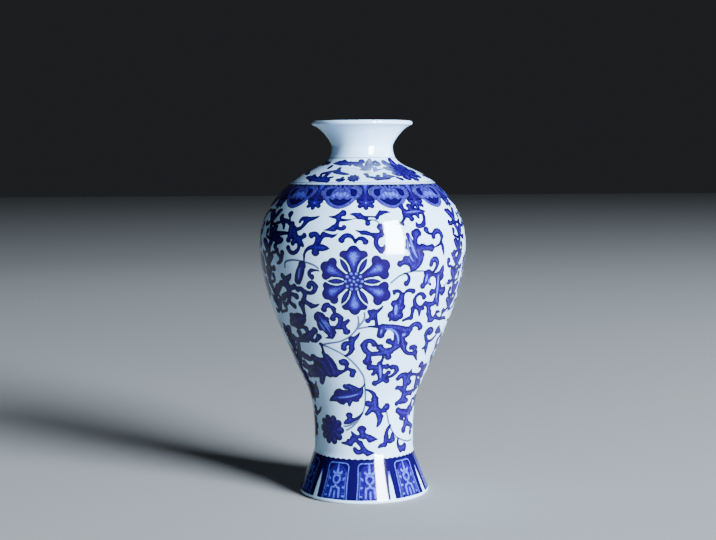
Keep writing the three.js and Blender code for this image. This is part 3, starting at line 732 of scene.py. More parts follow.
class Wall:
    """Points of the painted wall, and the distances painted on them."""

    def __init__(self, line, turns, heights):
        self.line = line
        self.turns = turns
        self.heights = heights
        self.radii = np.interp(heights, line["height"], line["radius"])
        self.rises = np.interp(heights, line["height"], line["rise"])
        self.layers = {name: np.full(len(turns), FAR) for name in LAYERS}

    def place(self, turn, height):
        """Turn in degrees and height as a point of the unrolled chart."""
        rise = np.interp(height, self.line["height"], self.line["rise"])
        return complex(math.radians(turn), float(rise))

    def near(self, centre, reach):
        """Indexes of the points near a place of the chart, and where they lie from it."""
        rises = self.rises - centre.imag
        rows = np.nonzero(np.abs(rises) < reach)[0]
        turns = self.turns[rows] - centre.real
        turns -= 2.0 * math.pi * np.round(turns / (2.0 * math.pi))
        close = np.abs(turns) < reach
        rows = rows[close]
        return rows, turns[close] + 1j * rises[rows]

    def around(self, turn, height, reach):
        """Points near a place, and their offsets from it in millimetres."""
        radius = float(np.interp(height, self.line["height"], self.line["radius"]))
        rows, places = self.near(self.place(turn, height), reach / radius)
        return rows, places * self.radii[rows]

    def lay(self, layer, rows, distances, reach=BRUSHED):
        """Adds a shape to a layer."""
        field = self.layers[layer]
        field[rows] = melt(field[rows], np.minimum(distances, FAR), reach)

    def spare(self, layer, rows, distances):
        """Keeps a shape clear of a layer."""
        field = self.layers[layer]
        field[rows] = np.maximum(field[rows], -distances)

    def run(self, layer, points, widths, reach=BRUSHED):
        """Lays a run of chart points with a half width at each of them."""
        points = np.asarray(points)
        widths = np.asarray(widths, dtype=float)
        centre = complex((points.real.min() + points.real.max()) / 2.0,
                         (points.imag.min() + points.imag.max()) / 2.0)
        extent = max(np.ptp(points.real), np.ptp(points.imag)) / 2.0
        radius = SHORT_STROKE_RADIUS if extent < SHORT_STROKE else LONG_STROKE_RADIUS
        rows, places = self.near(centre, extent + (widths.max() + STROKE_MARGIN) / radius)
        if not len(rows):
            return
        radii = self.radii[rows]
        nearest = np.full(len(rows), FAR)
        points = points - centre
        for index in range(len(points) - 1):
            step = points[index + 1] - points[index]
            along = np.clip(((places - points[index]) / step).real, 0.0, 1.0)
            gaps = np.abs(places - points[index] - along * step) * radii
            half = widths[index] + (widths[index + 1] - widths[index]) * along
            nearest = np.minimum(nearest, gaps - half)
        self.lay(layer, rows, nearest, reach)

    def stroke(self, layer, mark, turn=0.0, lift=0.0, swell=0.0, reach=BRUSHED):
        """Lays one arc of the brush, moved round by a turn and up by a lift."""
        first, low, last, high, bow, start, middle, end = mark
        begin = self.place(first + turn, low + lift)
        finish = self.place(last + turn, high + lift)
        angle = 4.0 * math.atan(bow)
        steps = FEWEST_POINTS + int(abs(angle) * POINTS_IN_RADIAN)
        share = np.linspace(0.0, 1.0, steps)
        if abs(angle) < STRAIGHT:
            points = begin + (finish - begin) * share
        else:
            swing = np.sin(angle * share / 2.0) / math.sin(angle / 2.0)
            points = begin + (finish - begin) * swing * np.exp(0.5j * angle * (1.0 - share))
        bulge = 4.0 * (middle - (start + end) / 2.0)
        widths = start + (end - start) * share + bulge * share * (1.0 - share)
        widths = np.maximum(widths, THINNEST) + swell * (1.0 - 0.5 * share)
        self.run(layer, points, widths, reach)
        if layer == "ink" and widths.max() > OUTLINE:
            self.run("glow", points, np.minimum(widths - OUTLINE, CORE), reach)
        if swell and start > BALL_FROM:
            self.run(layer, points[:2], [start * BALL_GROWTH + swell, start + 0.4 * swell], reach)

    def strokes(self, layer, marks, turn=0.0, lift=0.0, swell=0.0, reach=BRUSHED):
        """Lays one stroke after another."""
        for mark in marks:
            self.stroke(layer, mark, turn, lift, swell, reach)

    def disc(self, layer, turn, height, radius, reach=0.3):
        """Lays a round dot."""
        place = self.place(turn, height)
        self.run(layer, [place, place + NUDGE], [radius, radius], reach)


# Curve through a run of points, with extra points between them
def smooth_run(points, steps=4):
    ends = [2 * points[0] - points[1], *points, 2 * points[-1] - points[-2]]
    result = []
    for a, b, c, d in zip(ends, ends[1:], ends[2:], ends[3:]):
        for step in range(steps):
            t = step / steps
            result.append(0.5 * (2 * b + (c - a) * t + (2 * a - 5 * b + 4 * c - d) * t * t
                                 + (3 * b - a - 3 * c + d) * t ** 3))
    result.append(points[-1])
    return np.array(result)


# Distance from a bar with round ends that widens from one end to the other
def bar(places, start, end, narrow, wide):
    way = end - start
    along = np.clip(((places - start) / way).real, 0.0, 1.0)
    return np.abs(places - start - way * along) - (narrow + (wide - narrow) * along)


# Distance from several such bars
def bars(places, rows):
    return least(*[bar(places, *row) for row in rows])


# Distance from a leaf shape that is pointed at both ends and lies along the first axis
def lens(places, middle, length, width):
    radius = (length * length + width * width) / (2.0 * width)
    folded = np.abs(places.imag) + radius - width
    return np.abs(places.real - middle + 1j * folded) - radius


# Distance from a ring of round dots
def dots(places, number, away, radius, first):
    ways = (math.radians(360.0 / number * index + first) for index in range(number))
    return least(*[np.abs(places - away * np.exp(1j * way)) - radius for way in ways])


# Distance from a thin line drawn along the edge of a shape
def contour(shape, half_width):
    return np.abs(shape) - half_width


# Distance from a round bloom with lobes round its edge
def bloom(places, radius, lobes, lobe_radius):
    shape = np.abs(places) - radius
    for index in range(lobes):
        lobe = radius * np.exp(2j * math.pi * index / lobes)
        shape = melt(shape, np.abs(places - lobe) - lobe_radius, 0.4)
    return shape


# Lays a flower over the scroll, with a white reserve round it
def clear_and_lay(wall, rows, shape):
    shape = np.minimum(shape, FAR)
    wall.spare("ink", rows, shape - RESERVE)
    wall.spare("stem", rows, shape - RESERVE)
    wall.lay("ink", rows, shape, CRISP)


# Open flower: six lobed petals, six slim sepals between them and a seed head
def paint_flower(wall, turn, height):
    rows, places = wall.around(turn, height, 36.0)
    petals = np.full(len(rows), FAR)
    hearts = np.full(len(rows), FAR)
    sepals = np.full(len(rows), FAR)
    for angle, length, spread in PETALS:
        local = places * np.exp(-1j * math.radians(angle)) / length
        local = local.real + 1j * np.abs(local.imag)
        waist = 4.2 * spread + 0.4
        shape = least(bar(local, 5.0 + 0j, 12.5 + 0j, 2.0, waist),
                      bar(local, 12.5 + 0j, 18.6 + 0j, waist, 6.4 * spread + 0.4))
        shape = melt(shape, np.abs(local - (19.8 + 7.2j * spread)) - 3.5, 1.6)
        shape = melt(shape, np.abs(local - 22.4) - 4.6, 0.9)
        petals = least(petals, shape)
        hearts = least(hearts, bar(local, 8.0 + 0j, 18.6 + 0j, 0.6, 5.2 * spread))
    for index in range(SEPALS):
        local = places * np.exp(-1j * math.radians(360.0 / SEPALS * index))
        sepals = least(sepals, lens(local, 13.8, 7.2, 2.2))
    petals = most(petals, 0.8 - sepals)
    clear_and_lay(wall, rows, least(petals, sepals, np.abs(places) - 8.0))
    wall.lay("glow", rows, least(hearts, sepals + 1.1), SOFT)
    wall.lay("pale", rows, least(*[dots(places, *ring) for ring in SEEDS]), CRISP)


# Round bloom: dark lobes, and softer petals drawn in rings on it
def paint_bloom(wall, turn, height, radius, lobes):
    rows, places = wall.around(turn, height, 2.2 * radius + 6.0)
    clear_and_lay(wall, rows, bloom(places, radius, lobes, 0.32 * radius))
    for fewer, start, end, half in BLOOM_PETALS:
        count = lobes - fewer
        for index in range(count):
            local = places * np.exp(-2j * math.pi * index / count) / radius
            wall.lay("glow", rows, bar(local, start + 0j, end + 0.12j, half, 1.3 * half) * radius, SOFT)


# Swaying stem with a pointed leaf and a curl at each step, first on one side and then on the other
def paint_leaf_column(wall, turn, low, high, reach):
    def sway_at(index):
        return 0.3 * reach * math.sin(1.3 * index + 0.05 * low)

    for index in range(int((high - low) / COLUMN_STEP)):
        side = 1.0 if index % 2 else -1.0
        base = low + COLUMN_STEP * index
        sway = sway_at(index)
        out = reach * side * (0.88 + 0.22 * math.sin(2.3 * index + turn))
        stem = (sway, base, sway_at(index + 1), base + COLUMN_STEP, 0.22 * side, 1.0, 1.4, 1.0)
        leaves = [(sway + first * out, base + rise, sway + last * out, base + top, bow * side, *widths)
                  for first, rise, last, top, bow, *widths in COLUMN_MARKS]
        wall.strokes("ink", (stem, *leaves), turn, swell=SPRAY_SWELL)


# Lotus scroll with its leaves, curls and thin stems, in front and behind
def paint_scroll(wall):
    for turn in SCROLL_TURNS:
        for marks in SCROLL.values():
            wall.strokes("ink", marks, turn, swell=BRUSH_SWELL)
        for name, away, lift in SIDE_MOTIFS:
            wall.strokes("ink", SCROLL[name], turn + away, lift, BRUSH_SWELL)
        for away, low, high, reach in LEAF_COLUMNS:
            paint_leaf_column(wall, turn + away, low, high, reach)
        for mark in VEINS_AND_PAINTED_LIGHT:
            # Each vein lays a wide glow and a thin pale line; the glow is partly painted light, brightening
            # the leaves as the lamp would
            wall.stroke("glow", mark, turn, swell=VEIN_GLOW_AND_PAINTED_LIGHT_SWELL)
            wall.stroke("pale", mark, turn)
        for stem in STEMS:
            points = smooth_run([wall.place(first + turn, height) for first, height in stem])
            wall.run("stem", points, np.full(len(points), STEM_HALF_WIDTH))
        for away in FLOWER_TURNS:
            paint_flower(wall, turn + away, FLOWER_HEIGHT)
        for away, height, radius, lobes in PEONIES:
            paint_bloom(wall, turn + away, height, radius, lobes)


# Ruyi band under the shoulder: cloud heads side by side with a small flower hanging between
def paint_ruyi(wall):
    pitch = 360.0 / RUYI_HEADS
    for index in range(RUYI_HEADS):
        turn = RUYI_FIRST + pitch * index
        paint_ruyi_head(wall, turn)
        paint_pendant(wall, turn + pitch / 2.0)


# Cloud head: a bowl with two eyes and a crown, its rim, clouds and drops, on a dark ground
def paint_ruyi_head(wall, turn):
    rows, places = wall.around(turn, RUYI_MIDDLE, 30.0)
    half = np.abs(places.real) + 1j * places.imag
    rise = places.imag
    top = wall.heights[rows] - RUYI_TOP
    eye = np.abs(half - (9.3 + 2.8j))
    bowl = np.abs(half + 1.25 - 1.6j) - 14.45
    head = melt(most(bowl, rise + 1.0), eye - 6.7, 0.8)
    head = most(least(head, np.abs(places - 2.5j) - 9.2), top)
    wall.lay("wash", rows, head, CRISP)
    ground = most(-head, -4.6 - rise, top, half.real - 20.4)
    crescent = most(bowl + 3.2, rise + 3.2 + 0.8 * np.cos(1.1 * places.real))
    comma = melt(*[bar(half, *row) for row in RUYI_COMMA], 0.6)
    cloud = least(contour(np.abs(half - (2.9 + 1.9j)) - 2.5, 0.28),
                  contour(np.abs(places - 5.4j) - 2.3, 0.25))
    drawn = least(crescent, comma, ground, bars(half, RUYI_DROPS), contour(head + 0.3, 0.32), cloud)
    wall.lay("ink", rows, most(drawn, top), CRISP)
    wall.lay("pale", rows, bars(half, RUYI_STREAKS), CRISP)
    rim = least(most(contour(bowl + 1.8, 1.3), rise + 2.4), contour(eye - 5.0, 1.3))
    wall.lay("glow", rows, most(least(rim, bar(half, *RUYI_MIST)), head + 0.5), CRISP)


# Small flower that hangs between two cloud heads, on a stalk that is bright at its top
def paint_pendant(wall, turn):
    wall.strokes("ink", (*PENDANT_PETALS, PENDANT_STALK), turn)
    wall.stroke("glow", PENDANT_TOP, turn)
    wall.disc("pale", turn, *PENDANT_HEART)


# Lappets round the foot: a dark band with white gaps, pale arches and an ornament in each
def paint_lappets(wall):
    waves = 0.7 * np.abs(np.sin(LAPPET_WAVES * wall.turns)) - 0.4
    band = most(wall.heights - LAPPET_TOP - waves, LAPPET_BOTTOM - wall.heights)
    near = np.nonzero(band < FAR)[0]
    wall.lay("ink", near, band[near], CRISP)
    wall.lay("wash", near, band[near], CRISP)
    for index in range(LAPPETS):
        turn = LAPPET_FIRST + LAPPET_PITCH * index
        rows, places = wall.around(turn, 16.0, 30.0)
        field = bar(places, *LAPPET_FIELD)
        wall.lay("glow", rows, np.maximum(field, -0.8), CRISP)
        wall.spare("wash", rows, field)
        for side in (-1.0, 1.0):
            marks = [(first * side, low, last * side, high, bow * side, *widths)
                     for first, low, last, high, bow, *widths in LAPPET_MARKS]
            wall.strokes("pale", marks, turn, reach=SOFT)
        wall.strokes("pale", LAPPET_MIDDLE, turn, reach=SOFT)
        if index < LAPPETS - 1:
            clear_gap(wall, turn + LAPPET_PITCH / 2.0)


# White gap between two lappets, wider at the foot
def clear_gap(wall, turn):
    rows, places = wall.around(turn, 3.5, 24.0)
    heights = wall.heights[rows]
    half = np.interp(heights, (LAPPET_BOTTOM, LAPPET_GAP_TOP), LAPPET_GAP_WIDTHS)
    wedge = most(np.abs(places.real) - half, heights - LAPPET_GAP_TOP)
    wall.spare("ink", rows, wedge)
    wall.spare("wash", rows, wedge + 0.12 * np.maximum(heights - 12.0, 0.0))


# Sprays of leaves on the slope of the shoulder, with a bud and a peony in each
def paint_shoulder(wall):
    for turn in SCROLL_TURNS:
        wall.strokes("ink", SHOULDER_SPRAY, turn, swell=SPRAY_SWELL)
        for away in LEAF_SPRAY_TURNS:
            wall.strokes("ink", SHOULDER_LEAVES, turn + away, swell=LEAF_SWELL)
        for away, height, radius, lobes in SHOULDER_BLOOMS:
            paint_bloom(wall, turn + away, height, radius, lobes)
        wall.strokes("wash", SHOULDER_WASHES, turn)


# Plain rings drawn on the wheel
def paint_rings(wall):
    for layer, height, half in RINGS:
        distances = np.abs(wall.rises - wall.place(0.0, height).imag) * wall.radii - half
        near = np.nonzero(distances < FAR)[0]
        wall.lay(layer, near, distances[near], SOFT)


def paint(wall):
    for painter in (paint_scroll, paint_ruyi, paint_lappets, paint_shoulder, paint_rings):
        painter(wall)


# A length of the vase, in metres
def length(name, description, default):
    return FloatProperty(name=name, description=description, default=default, unit="LENGTH")


# A slope of the outer line, as radius gained per height
def slope(name, description, default):
    return FloatProperty(name=name, description=description, default=default)


# A colour as linear red, green, blue and alpha
def colour(name, description, default):
    return FloatVectorProperty(name=name, description=description, subtype="COLOR", size=4,
                               default=default)


class VaseSizes(bpy.types.PropertyGroup):
    """Sizes of the vase's outer line, wall, joints and foot, the same as in the CAD source."""
    foot_radius: length("Foot radius", "Widest radius at the table", 0.0527)
    foot_edge: length("Foot edge", "Rounding of the foot's lower edge", 0.002)
    foot_slope: slope("Foot slope", "Radius gained per height at the foot", -0.41)
    waist_rise: length("Waist rise", "Table to waist", 0.038)
    waist_radius: length("Waist radius", "Narrowest radius of the foot", 0.040)
    flank_rise: length("Flank rise", "Waist to flank", 0.076)
    flank_radius: length("Flank radius", "Radius at the flank", 0.0583)
    flank_slope: slope("Flank slope", "Radius gained per height at the flank", 0.395)
    belly_rise: length("Belly rise", "Flank to belly", 0.087)
    belly_radius: length("Belly radius", "Widest radius of the vase", 0.083)
    shoulder_rise: length("Shoulder rise", "Belly to shoulder", 0.0482)
    shoulder_radius: length("Shoulder radius", "Radius at the shoulder's edge", 0.060)
    shoulder_slope: slope("Shoulder slope", "Radius gained per height at the shoulder", -1.09)
    neck_rise: length("Neck rise", "Shoulder to neck", 0.0305)
    neck_radius: length("Neck radius", "Narrowest radius of the neck", 0.0245)
    mouth_rise: length("Mouth rise", "Neck to lip", 0.0203)
    mouth_radius: length("Mouth radius", "Widest radius of the lip", 0.0404)
    mouth_slope: slope("Mouth slope", "Radius gained per height at the lip", 3.1)
    wall: length("Wall", "Thickness of the wall", 0.0046)
    lip: length("Lip", "Thickness of the lip", 0.0036)
    foot_joint: length("Foot joint", "Joint below the waist", 0.007)
    neck_joint: length("Neck joint", "Joint below the neck", 0.0097)
    recess: length("Recess", "Depth of the recess under the floor", 0.012)
    floor: length("Floor", "Thickness of the floor", 0.006)
    ledge: length("Ledge", "Width of the floor's ledge", 0.0016)
    ring: length("Foot ring", "Width of the foot ring", 0.0036)
    ring_chamfer: length("Ring chamfer", "Chamfer inside the foot ring", 0.0008)
    bead: length("Bead", "Height of a bead of slip", 0.0024)
    bead_depth: length("Bead depth", "Depth of a bead's groove", 0.0016)
    bead_bulge: length("Bead bulge", "How far a bead stands out inside", 0.0011)
    fillet: length("Base fillet", "Fillet of slip under the floor", 0.0026)
    slack: length("Slip slack", "Gap round a bead of slip", 0.0003)
    grain: length("Painting grain", "Spacing of the painted points", 0.00076)
    columns: IntProperty(name="Columns", description="Points round the belly", default=704, min=64)


class VaseColours(bpy.types.PropertyGroup):
    """Colours of the glaze, the cobalt and the clay."""
    glaze: colour("Glaze", "White glaze with a blue cast", (0.50, 0.72, 0.97, 1.0))
    ink_dark: colour("Dark cobalt", "Cobalt where it pooled", (0.0022, 0.0002, 0.030, 1.0))
    ink: colour("Cobalt", "Cobalt inside a stroke", (0.0100, 0.0002, 0.072, 1.0))
    bright: colour("Bright cobalt", "Thinner cobalt along a stroke", (0.017, 0.006, 0.225, 1.0))
    pale: colour("Pale cobalt", "Thin streaks of cobalt", (0.070, 0.115, 0.58, 1.0))
    wash: colour("Cobalt wash", "Watered cobalt of the ruyi band", (0.019, 0.010, 0.18, 1.0))
    stem: colour("Stem blue", "Grey blue of the thin stems", (0.012, 0.018, 0.10, 1.0))
    clay: colour("Fired clay", "Unglazed clay of the foot ring", (0.60, 0.54, 0.46, 1.0))


# The vase's sizes in millimetres
def sizes_in_mm():
    sizes = bpy.context.scene.vase_sizes
    plain = ("foot_slope", "flank_slope", "shoulder_slope", "mouth_slope", "columns")
    return {name: getattr(sizes, name) * (1.0 if name in plain else 1.0 / MM)
            for name in VaseSizes.__annotations__}


# Heights of the stations and of the joints between the sections
def heights_of(s):
    waist = s["waist_rise"]
    flank = waist + s["flank_rise"]
    belly = flank + s["belly_rise"]
    shoulder = belly + s["shoulder_rise"]
    neck = shoulder + s["neck_rise"]
    top = neck + s["mouth_rise"]
    return {"waist": waist, "flank": flank, "belly": belly, "shoulder": shoulder, "neck": neck,
            "top": top, "foot_joint": waist - s["foot_joint"], "neck_joint": neck - s["neck_joint"]}


# Stations of the outer line, from the foot to the lip: radius, height and slope
def stations_of(s, h):
    foot_tilt = math.atan(s["foot_slope"])
    mouth_tilt = math.atan(s["mouth_slope"])
    lip = s["lip"] / 2.0
    return ((s["foot_radius"] - s["foot_edge"] * (1.0 - math.cos(foot_tilt)),
             s["foot_edge"] * (1.0 - math.sin(foot_tilt)), s["foot_slope"]),
            (s["waist_radius"], h["waist"], 0.0),
            (s["flank_radius"], h["flank"], s["flank_slope"]),
            (s["belly_radius"], h["belly"], 0.0),
            (s["shoulder_radius"], h["shoulder"], s["shoulder_slope"]),
            (s["neck_radius"], h["neck"], 0.0),
            (s["mouth_radius"] - lip * (1.0 - math.cos(mouth_tilt)),
             h["top"] - lip * (1.0 + math.sin(mouth_tilt)), s["mouth_slope"]))


# Outer and inner line of the wall as rows of radius and height
def wall_lines(s, h):
    stations = stations_of(s, h)
    t = np.linspace(0.0, 1.0, SPAN_STEPS + 1)[:, None]
    outer = []
    inner = []
    for index, (low, high) in enumerate(zip(stations, stations[1:])):
        rise = high[1] - low[1]
        reach_out, reach_back = (share * rise for share in SPAN_REACHES[index])
        knots = np.array(((low[0], low[1]), (low[0] + reach_out * low[2], low[1] + reach_out),
                          (high[0] - reach_back * high[2], high[1] - reach_back), (high[0], high[1])))
        curve = ((1 - t) ** 3 * knots[0] + 3 * (1 - t) ** 2 * t * knots[1]
                 + 3 * (1 - t) * t ** 2 * knots[2] + t ** 3 * knots[3])
        way = (3 * (1 - t) ** 2 * (knots[1] - knots[0]) + 6 * (1 - t) * t * (knots[2] - knots[1])
               + 3 * t ** 2 * (knots[3] - knots[2]))
        way /= np.linalg.norm(way, axis=1)[:, None]
        last = index == len(stations) - 2
        thickness = s["wall"] + (s["lip"] - s["wall"]) * t if last else s["wall"]
        skip = 0 if index == 0 else 1
        outer.append(curve[skip:])
        inner.append((curve + thickness * np.stack((-way[:, 1], way[:, 0]), axis=1))[skip:])
    return np.concatenate(outer), np.concatenate(inner)


# Outer line for the painter: radius and chart rise over height
def painting_line(outer, top):
    radius = np.concatenate(([outer[0, 0] - FOOT_TUCK], outer[:, 0], [outer[-1, 0]]))
    height = np.concatenate(([0.0], outer[:, 1], [top]))
    steps = np.hypot(np.diff(radius), np.diff(height))
    rise = np.concatenate(([0.0], np.cumsum(steps / (0.5 * (radius[1:] + radius[:-1])))))
    return {"radius": radius, "height": height, "rise": rise}


# Way along a run of points, at each of them
def way_along(points):
    return np.concatenate(([0.0], np.cumsum(np.hypot(*np.diff(points, axis=0).T))))


# Run of a line between two heights with points a given way apart
def run_between(line, low, high, spacing):
    inside = line[(line[:, 1] > low + CUT_MARGIN) & (line[:, 1] < high - CUT_MARGIN)]
    ends = [(np.interp(height, line[:, 1], line[:, 0]), height) for height in (low, high)]
    points = np.concatenate(([ends[0]], inside, [ends[1]]))
    way = way_along(points)
    count = max(2, int(round(way[-1] / spacing)) + 1)
    marks = np.linspace(0.0, way[-1], count)
    return np.stack([np.interp(marks, way, points[:, axis]) for axis in (0, 1)], axis=1)


# Points of an arc from one angle to another
def arc_points(centre, radius, start, end, steps):
    angles = np.linspace(start, end, steps + 1)
    return np.stack((centre[0] + radius * np.cos(angles), centre[1] + radius * np.sin(angles)), axis=1)


# Groove for a bead of slip, half in the section under the joint and half in the one over it
def seam_at(inner, height, s):
    low = height - s["bead"] / 2.0
    high = height + s["bead"] / 2.0
    low_radius, high_radius = np.interp((low, high), inner[:, 1], inner[:, 0])
    back = max(low_radius, high_radius) + s["bead_depth"]
    return {"height": height, "low": low, "high": high, "low_radius": low_radius,
            "high_radius": high_radius, "back": back}


class Drawing:
    """Lines, joints and seat of the vase, worked out from its sizes."""

    def __init__(self):
        s = sizes_in_mm()
        h = heights_of(s)
        self.sizes = s
        self.top = h["top"]
        self.outer, self.inner = wall_lines(s, h)
        self.line = painting_line(self.outer, self.top)
        self.seams = {name: seam_at(self.inner, h[key], s) for name, key in SEAMS.items()}
        self.floor_top = s["recess"] + s["floor"]
        self.seat = float(np.interp(self.floor_top, self.inner[:, 1], self.inner[:, 0])) + s["ledge"]


class Nodes:
    """Short ways to add nodes to a tree and to join them."""

    def __init__(self, tree):
        self.tree = tree

    def feed(self, node, feeds):
        """Sets inputs of a node, by a link where the value is another node's output."""
        for name, value in feeds.items():
            if isinstance(value, bpy.types.NodeSocket):
                self.tree.links.new(value, node.inputs[name])
            else:
                node.inputs[name].default_value = value

    def add(self, kind, feeds=None, **settings):
        """Adds a node with its settings and inputs."""
        node = self.tree.nodes.new(kind)
        for key, value in settings.items():
            setattr(node, key, value)
        self.feed(node, feeds or {})
        return node

    def maths(self, operation, *values):
        """Adds a sum on one to three values."""
        return self.add("ShaderNodeMath", dict(enumerate(values)), operation=operation).outputs[0]

    def scaled(self, value, factor, offset):
        """Adds a factor and an offset to a value."""
        return self.maths("MULTIPLY_ADD", value, factor, offset)

    def noise(self, place, scale, detail=2.0):
        """Adds soft noise over a place."""
        feeds = {"Vector": place, "Scale": scale, "Detail": detail}
        return self.add("ShaderNodeTexNoise", feeds).outputs["Fac"]

    def ramp(self, value, low, high, low_out=0.0, high_out=1.0, kind="SMOOTHSTEP"):
        """Adds a ramp from one value to another."""
        feeds = {"Value": value, "From Min": low, "From Max": high, "To Min": low_out, "To Max": high_out}
        return self.add("ShaderNodeMapRange", feeds, interpolation_type=kind).outputs["Result"]

    def under(self, value, low, high):
        """Adds a mask that is full where a value is low."""
        return self.maths("SUBTRACT", 1.0, self.ramp(value, low, high))

    def mix(self, share, first, second):
        """Adds a mix of two colours."""
        feeds = {"Factor": share, "A": first, "B": second}
        return self.add("ShaderNodeMix", feeds, data_type="RGBA").outputs["Result"]


# Node group of a name, made when it is first asked for
def shared_group(name, maker):
    return bpy.data.node_groups.get(name) or maker(name)


# Empty node group with its named sockets, each a name, a kind and perhaps a default
def new_group(name, kind, inputs, outputs):
    group = bpy.data.node_groups.new(name, kind)
    for direction, sockets in (("INPUT", inputs), ("OUTPUT", outputs)):
        for label, socket_kind, *default in sockets:
            socket = group.interface.new_socket(label, in_out=direction,
                                                socket_type="NodeSocket" + socket_kind)
            if default:
                socket.default_value = default[0]
    return group


# Tree that turns a section drawn in the XZ plane into a round piece, as a potter's wheel does
def wheel_tree(name):
    tree = new_group(name, "GeometryNodeTree",
                     (("Section", "Geometry"), ("Columns", "Int", 96), ("Seam distance", "Float", 0.000002),
                      ("Clay", "Material")), (("Thrown", "Geometry"),))
    tree.interface.items_tree["Columns"].min_value = 3
    nodes = Nodes(tree)
    entry = nodes.add("NodeGroupInput").outputs
    position = nodes.add("GeometryNodeInputPosition").outputs[0]
    size = nodes.add("GeometryNodeAttributeDomainSize", {"Geometry": entry["Section"]}, component="MESH")
    segments = nodes.maths("SUBTRACT", size.outputs["Point Count"], 1.0)
    drum = nodes.add("GeometryNodeMeshCylinder",
                     {"Vertices": entry["Columns"], "Side Segments": segments, "Radius": 1.0, "Depth": 1.0},
                     fill_type="NONE")
    split = nodes.add("ShaderNodeSeparateXYZ", {0: position}).outputs
    row = nodes.maths("MULTIPLY", nodes.maths("ADD", split["Z"], 0.5), segments)
    whole = nodes.add("FunctionNodeFloatToInt", {0: row}, rounding_mode="ROUND").outputs[0]

    def at_row(value, kind):
        feeds = {"Geometry": entry["Section"], "Value": value, "Index": whole}
        sample = nodes.add("GeometryNodeSampleIndex", feeds, data_type=kind, domain="POINT")
        return sample.outputs["Value"]

    profile = nodes.add("ShaderNodeSeparateXYZ", {0: at_row(position, "FLOAT_VECTOR")}).outputs
    across = nodes.maths("MULTIPLY", split["X"], profile["X"])
    deep = nodes.maths("MULTIPLY", split["Y"], profile["X"])
    join = nodes.add("ShaderNodeCombineXYZ", {"X": across, "Y": deep, "Z": profile["Z"]})
    way = nodes.add("GeometryNodeInputNamedAttribute", {"Name": "run"}, data_type="FLOAT")
    made = nodes.add("GeometryNodeStoreNamedAttribute",
                     {"Geometry": drum.outputs["Mesh"], "Name": "run",
                      "Value": at_row(way.outputs["Attribute"], "FLOAT")},
                     data_type="FLOAT", domain="POINT")
    for kind, feeds, settings in (("GeometryNodeSetPosition", {"Position": join.outputs[0]}, {}),
                                  ("GeometryNodeMergeByDistance", {"Distance": entry["Seam distance"]}, {}),
                                  ("GeometryNodeSetShadeSmooth", {}, {"domain": "FACE"}),
                                  ("GeometryNodeRealizeInstances", {}, {}),
                                  ("GeometryNodeSetMaterial", {"Material": entry["Clay"]}, {})):
        made = nodes.add(kind, {"Geometry": made.outputs["Geometry"], **feeds}, **settings)
    nodes.add("NodeGroupOutput", {"Thrown": made.outputs["Geometry"]})
    return tree


# Values of a mesh's points, corners or faces as an array
def read_values(items, name, kind, width=1):
    values = np.empty(len(items) * width, dtype=kind)
    items.foreach_get(name, values)
    return values.reshape(-1, width) if width > 1 else values


# Keeps one value a point under a name
def write_values(mesh, name, values):
    mesh.attributes.new(name, "FLOAT", "POINT").data.foreach_set("value", values.astype(np.float32))


# A round piece thrown from its section, which is closed unless it starts and ends on the axis
def throw(name, section, columns, material):
    section = np.asarray(section, dtype=float) * MM
    if section[0, 0] > ON_AXIS:
        section = np.concatenate((section, section[:1]))
    rib = bpy.data.meshes.new(name + "_section")
    points = [(float(radius), 0.0, float(height)) for radius, height in section]
    rib.from_pydata(points, [(i, i + 1) for i in range(len(points) - 1)], [])
    way = way_along(section)
    write_values(rib, "run", way)
    piece = bpy.data.objects.new(name, rib)
    bpy.context.collection.objects.link(piece)
    wheel = piece.modifiers.new("Wheel", "NODES")
    wheel.node_group = shared_group("Throw on the wheel", wheel_tree)
    values = {"Columns": columns, "Clay": material}
    for socket in wheel.node_group.interface.items_tree:
        if socket.name in values:
            wheel[socket.identifier] = values[socket.name]
    graph = bpy.context.evaluated_depsgraph_get()
    mesh = bpy.data.meshes.new_from_object(piece.evaluated_get(graph), depsgraph=graph)
    mesh.name = name
    piece.modifiers.clear()
    piece.data = mesh
    bpy.data.meshes.remove(rib)
    if not len(mesh.polygons):
        raise RuntimeError(f"{name} came off the wheel empty")
    if not mesh.materials:
        mesh.materials.append(material)
    if signed_volume(mesh) < 0.0:
        mesh.flip_normals()
    mesh.set_sharp_from_angle(angle=SHARP_ANGLE)
    return piece, float(way[-1])


# Six times the volume, which is negative when the faces look inwards
def signed_volume(mesh):
    mesh.calc_loop_triangles()
    places = read_values(mesh.vertices, "co", np.float32, 3).astype(float)
    corners = read_values(mesh.loop_triangles, "vertices", np.int32, 3)
    a, b, c = (places[corners[:, k]] for k in range(3))
    return float(np.einsum("ij,ij->i", a, np.cross(b, c)).sum())


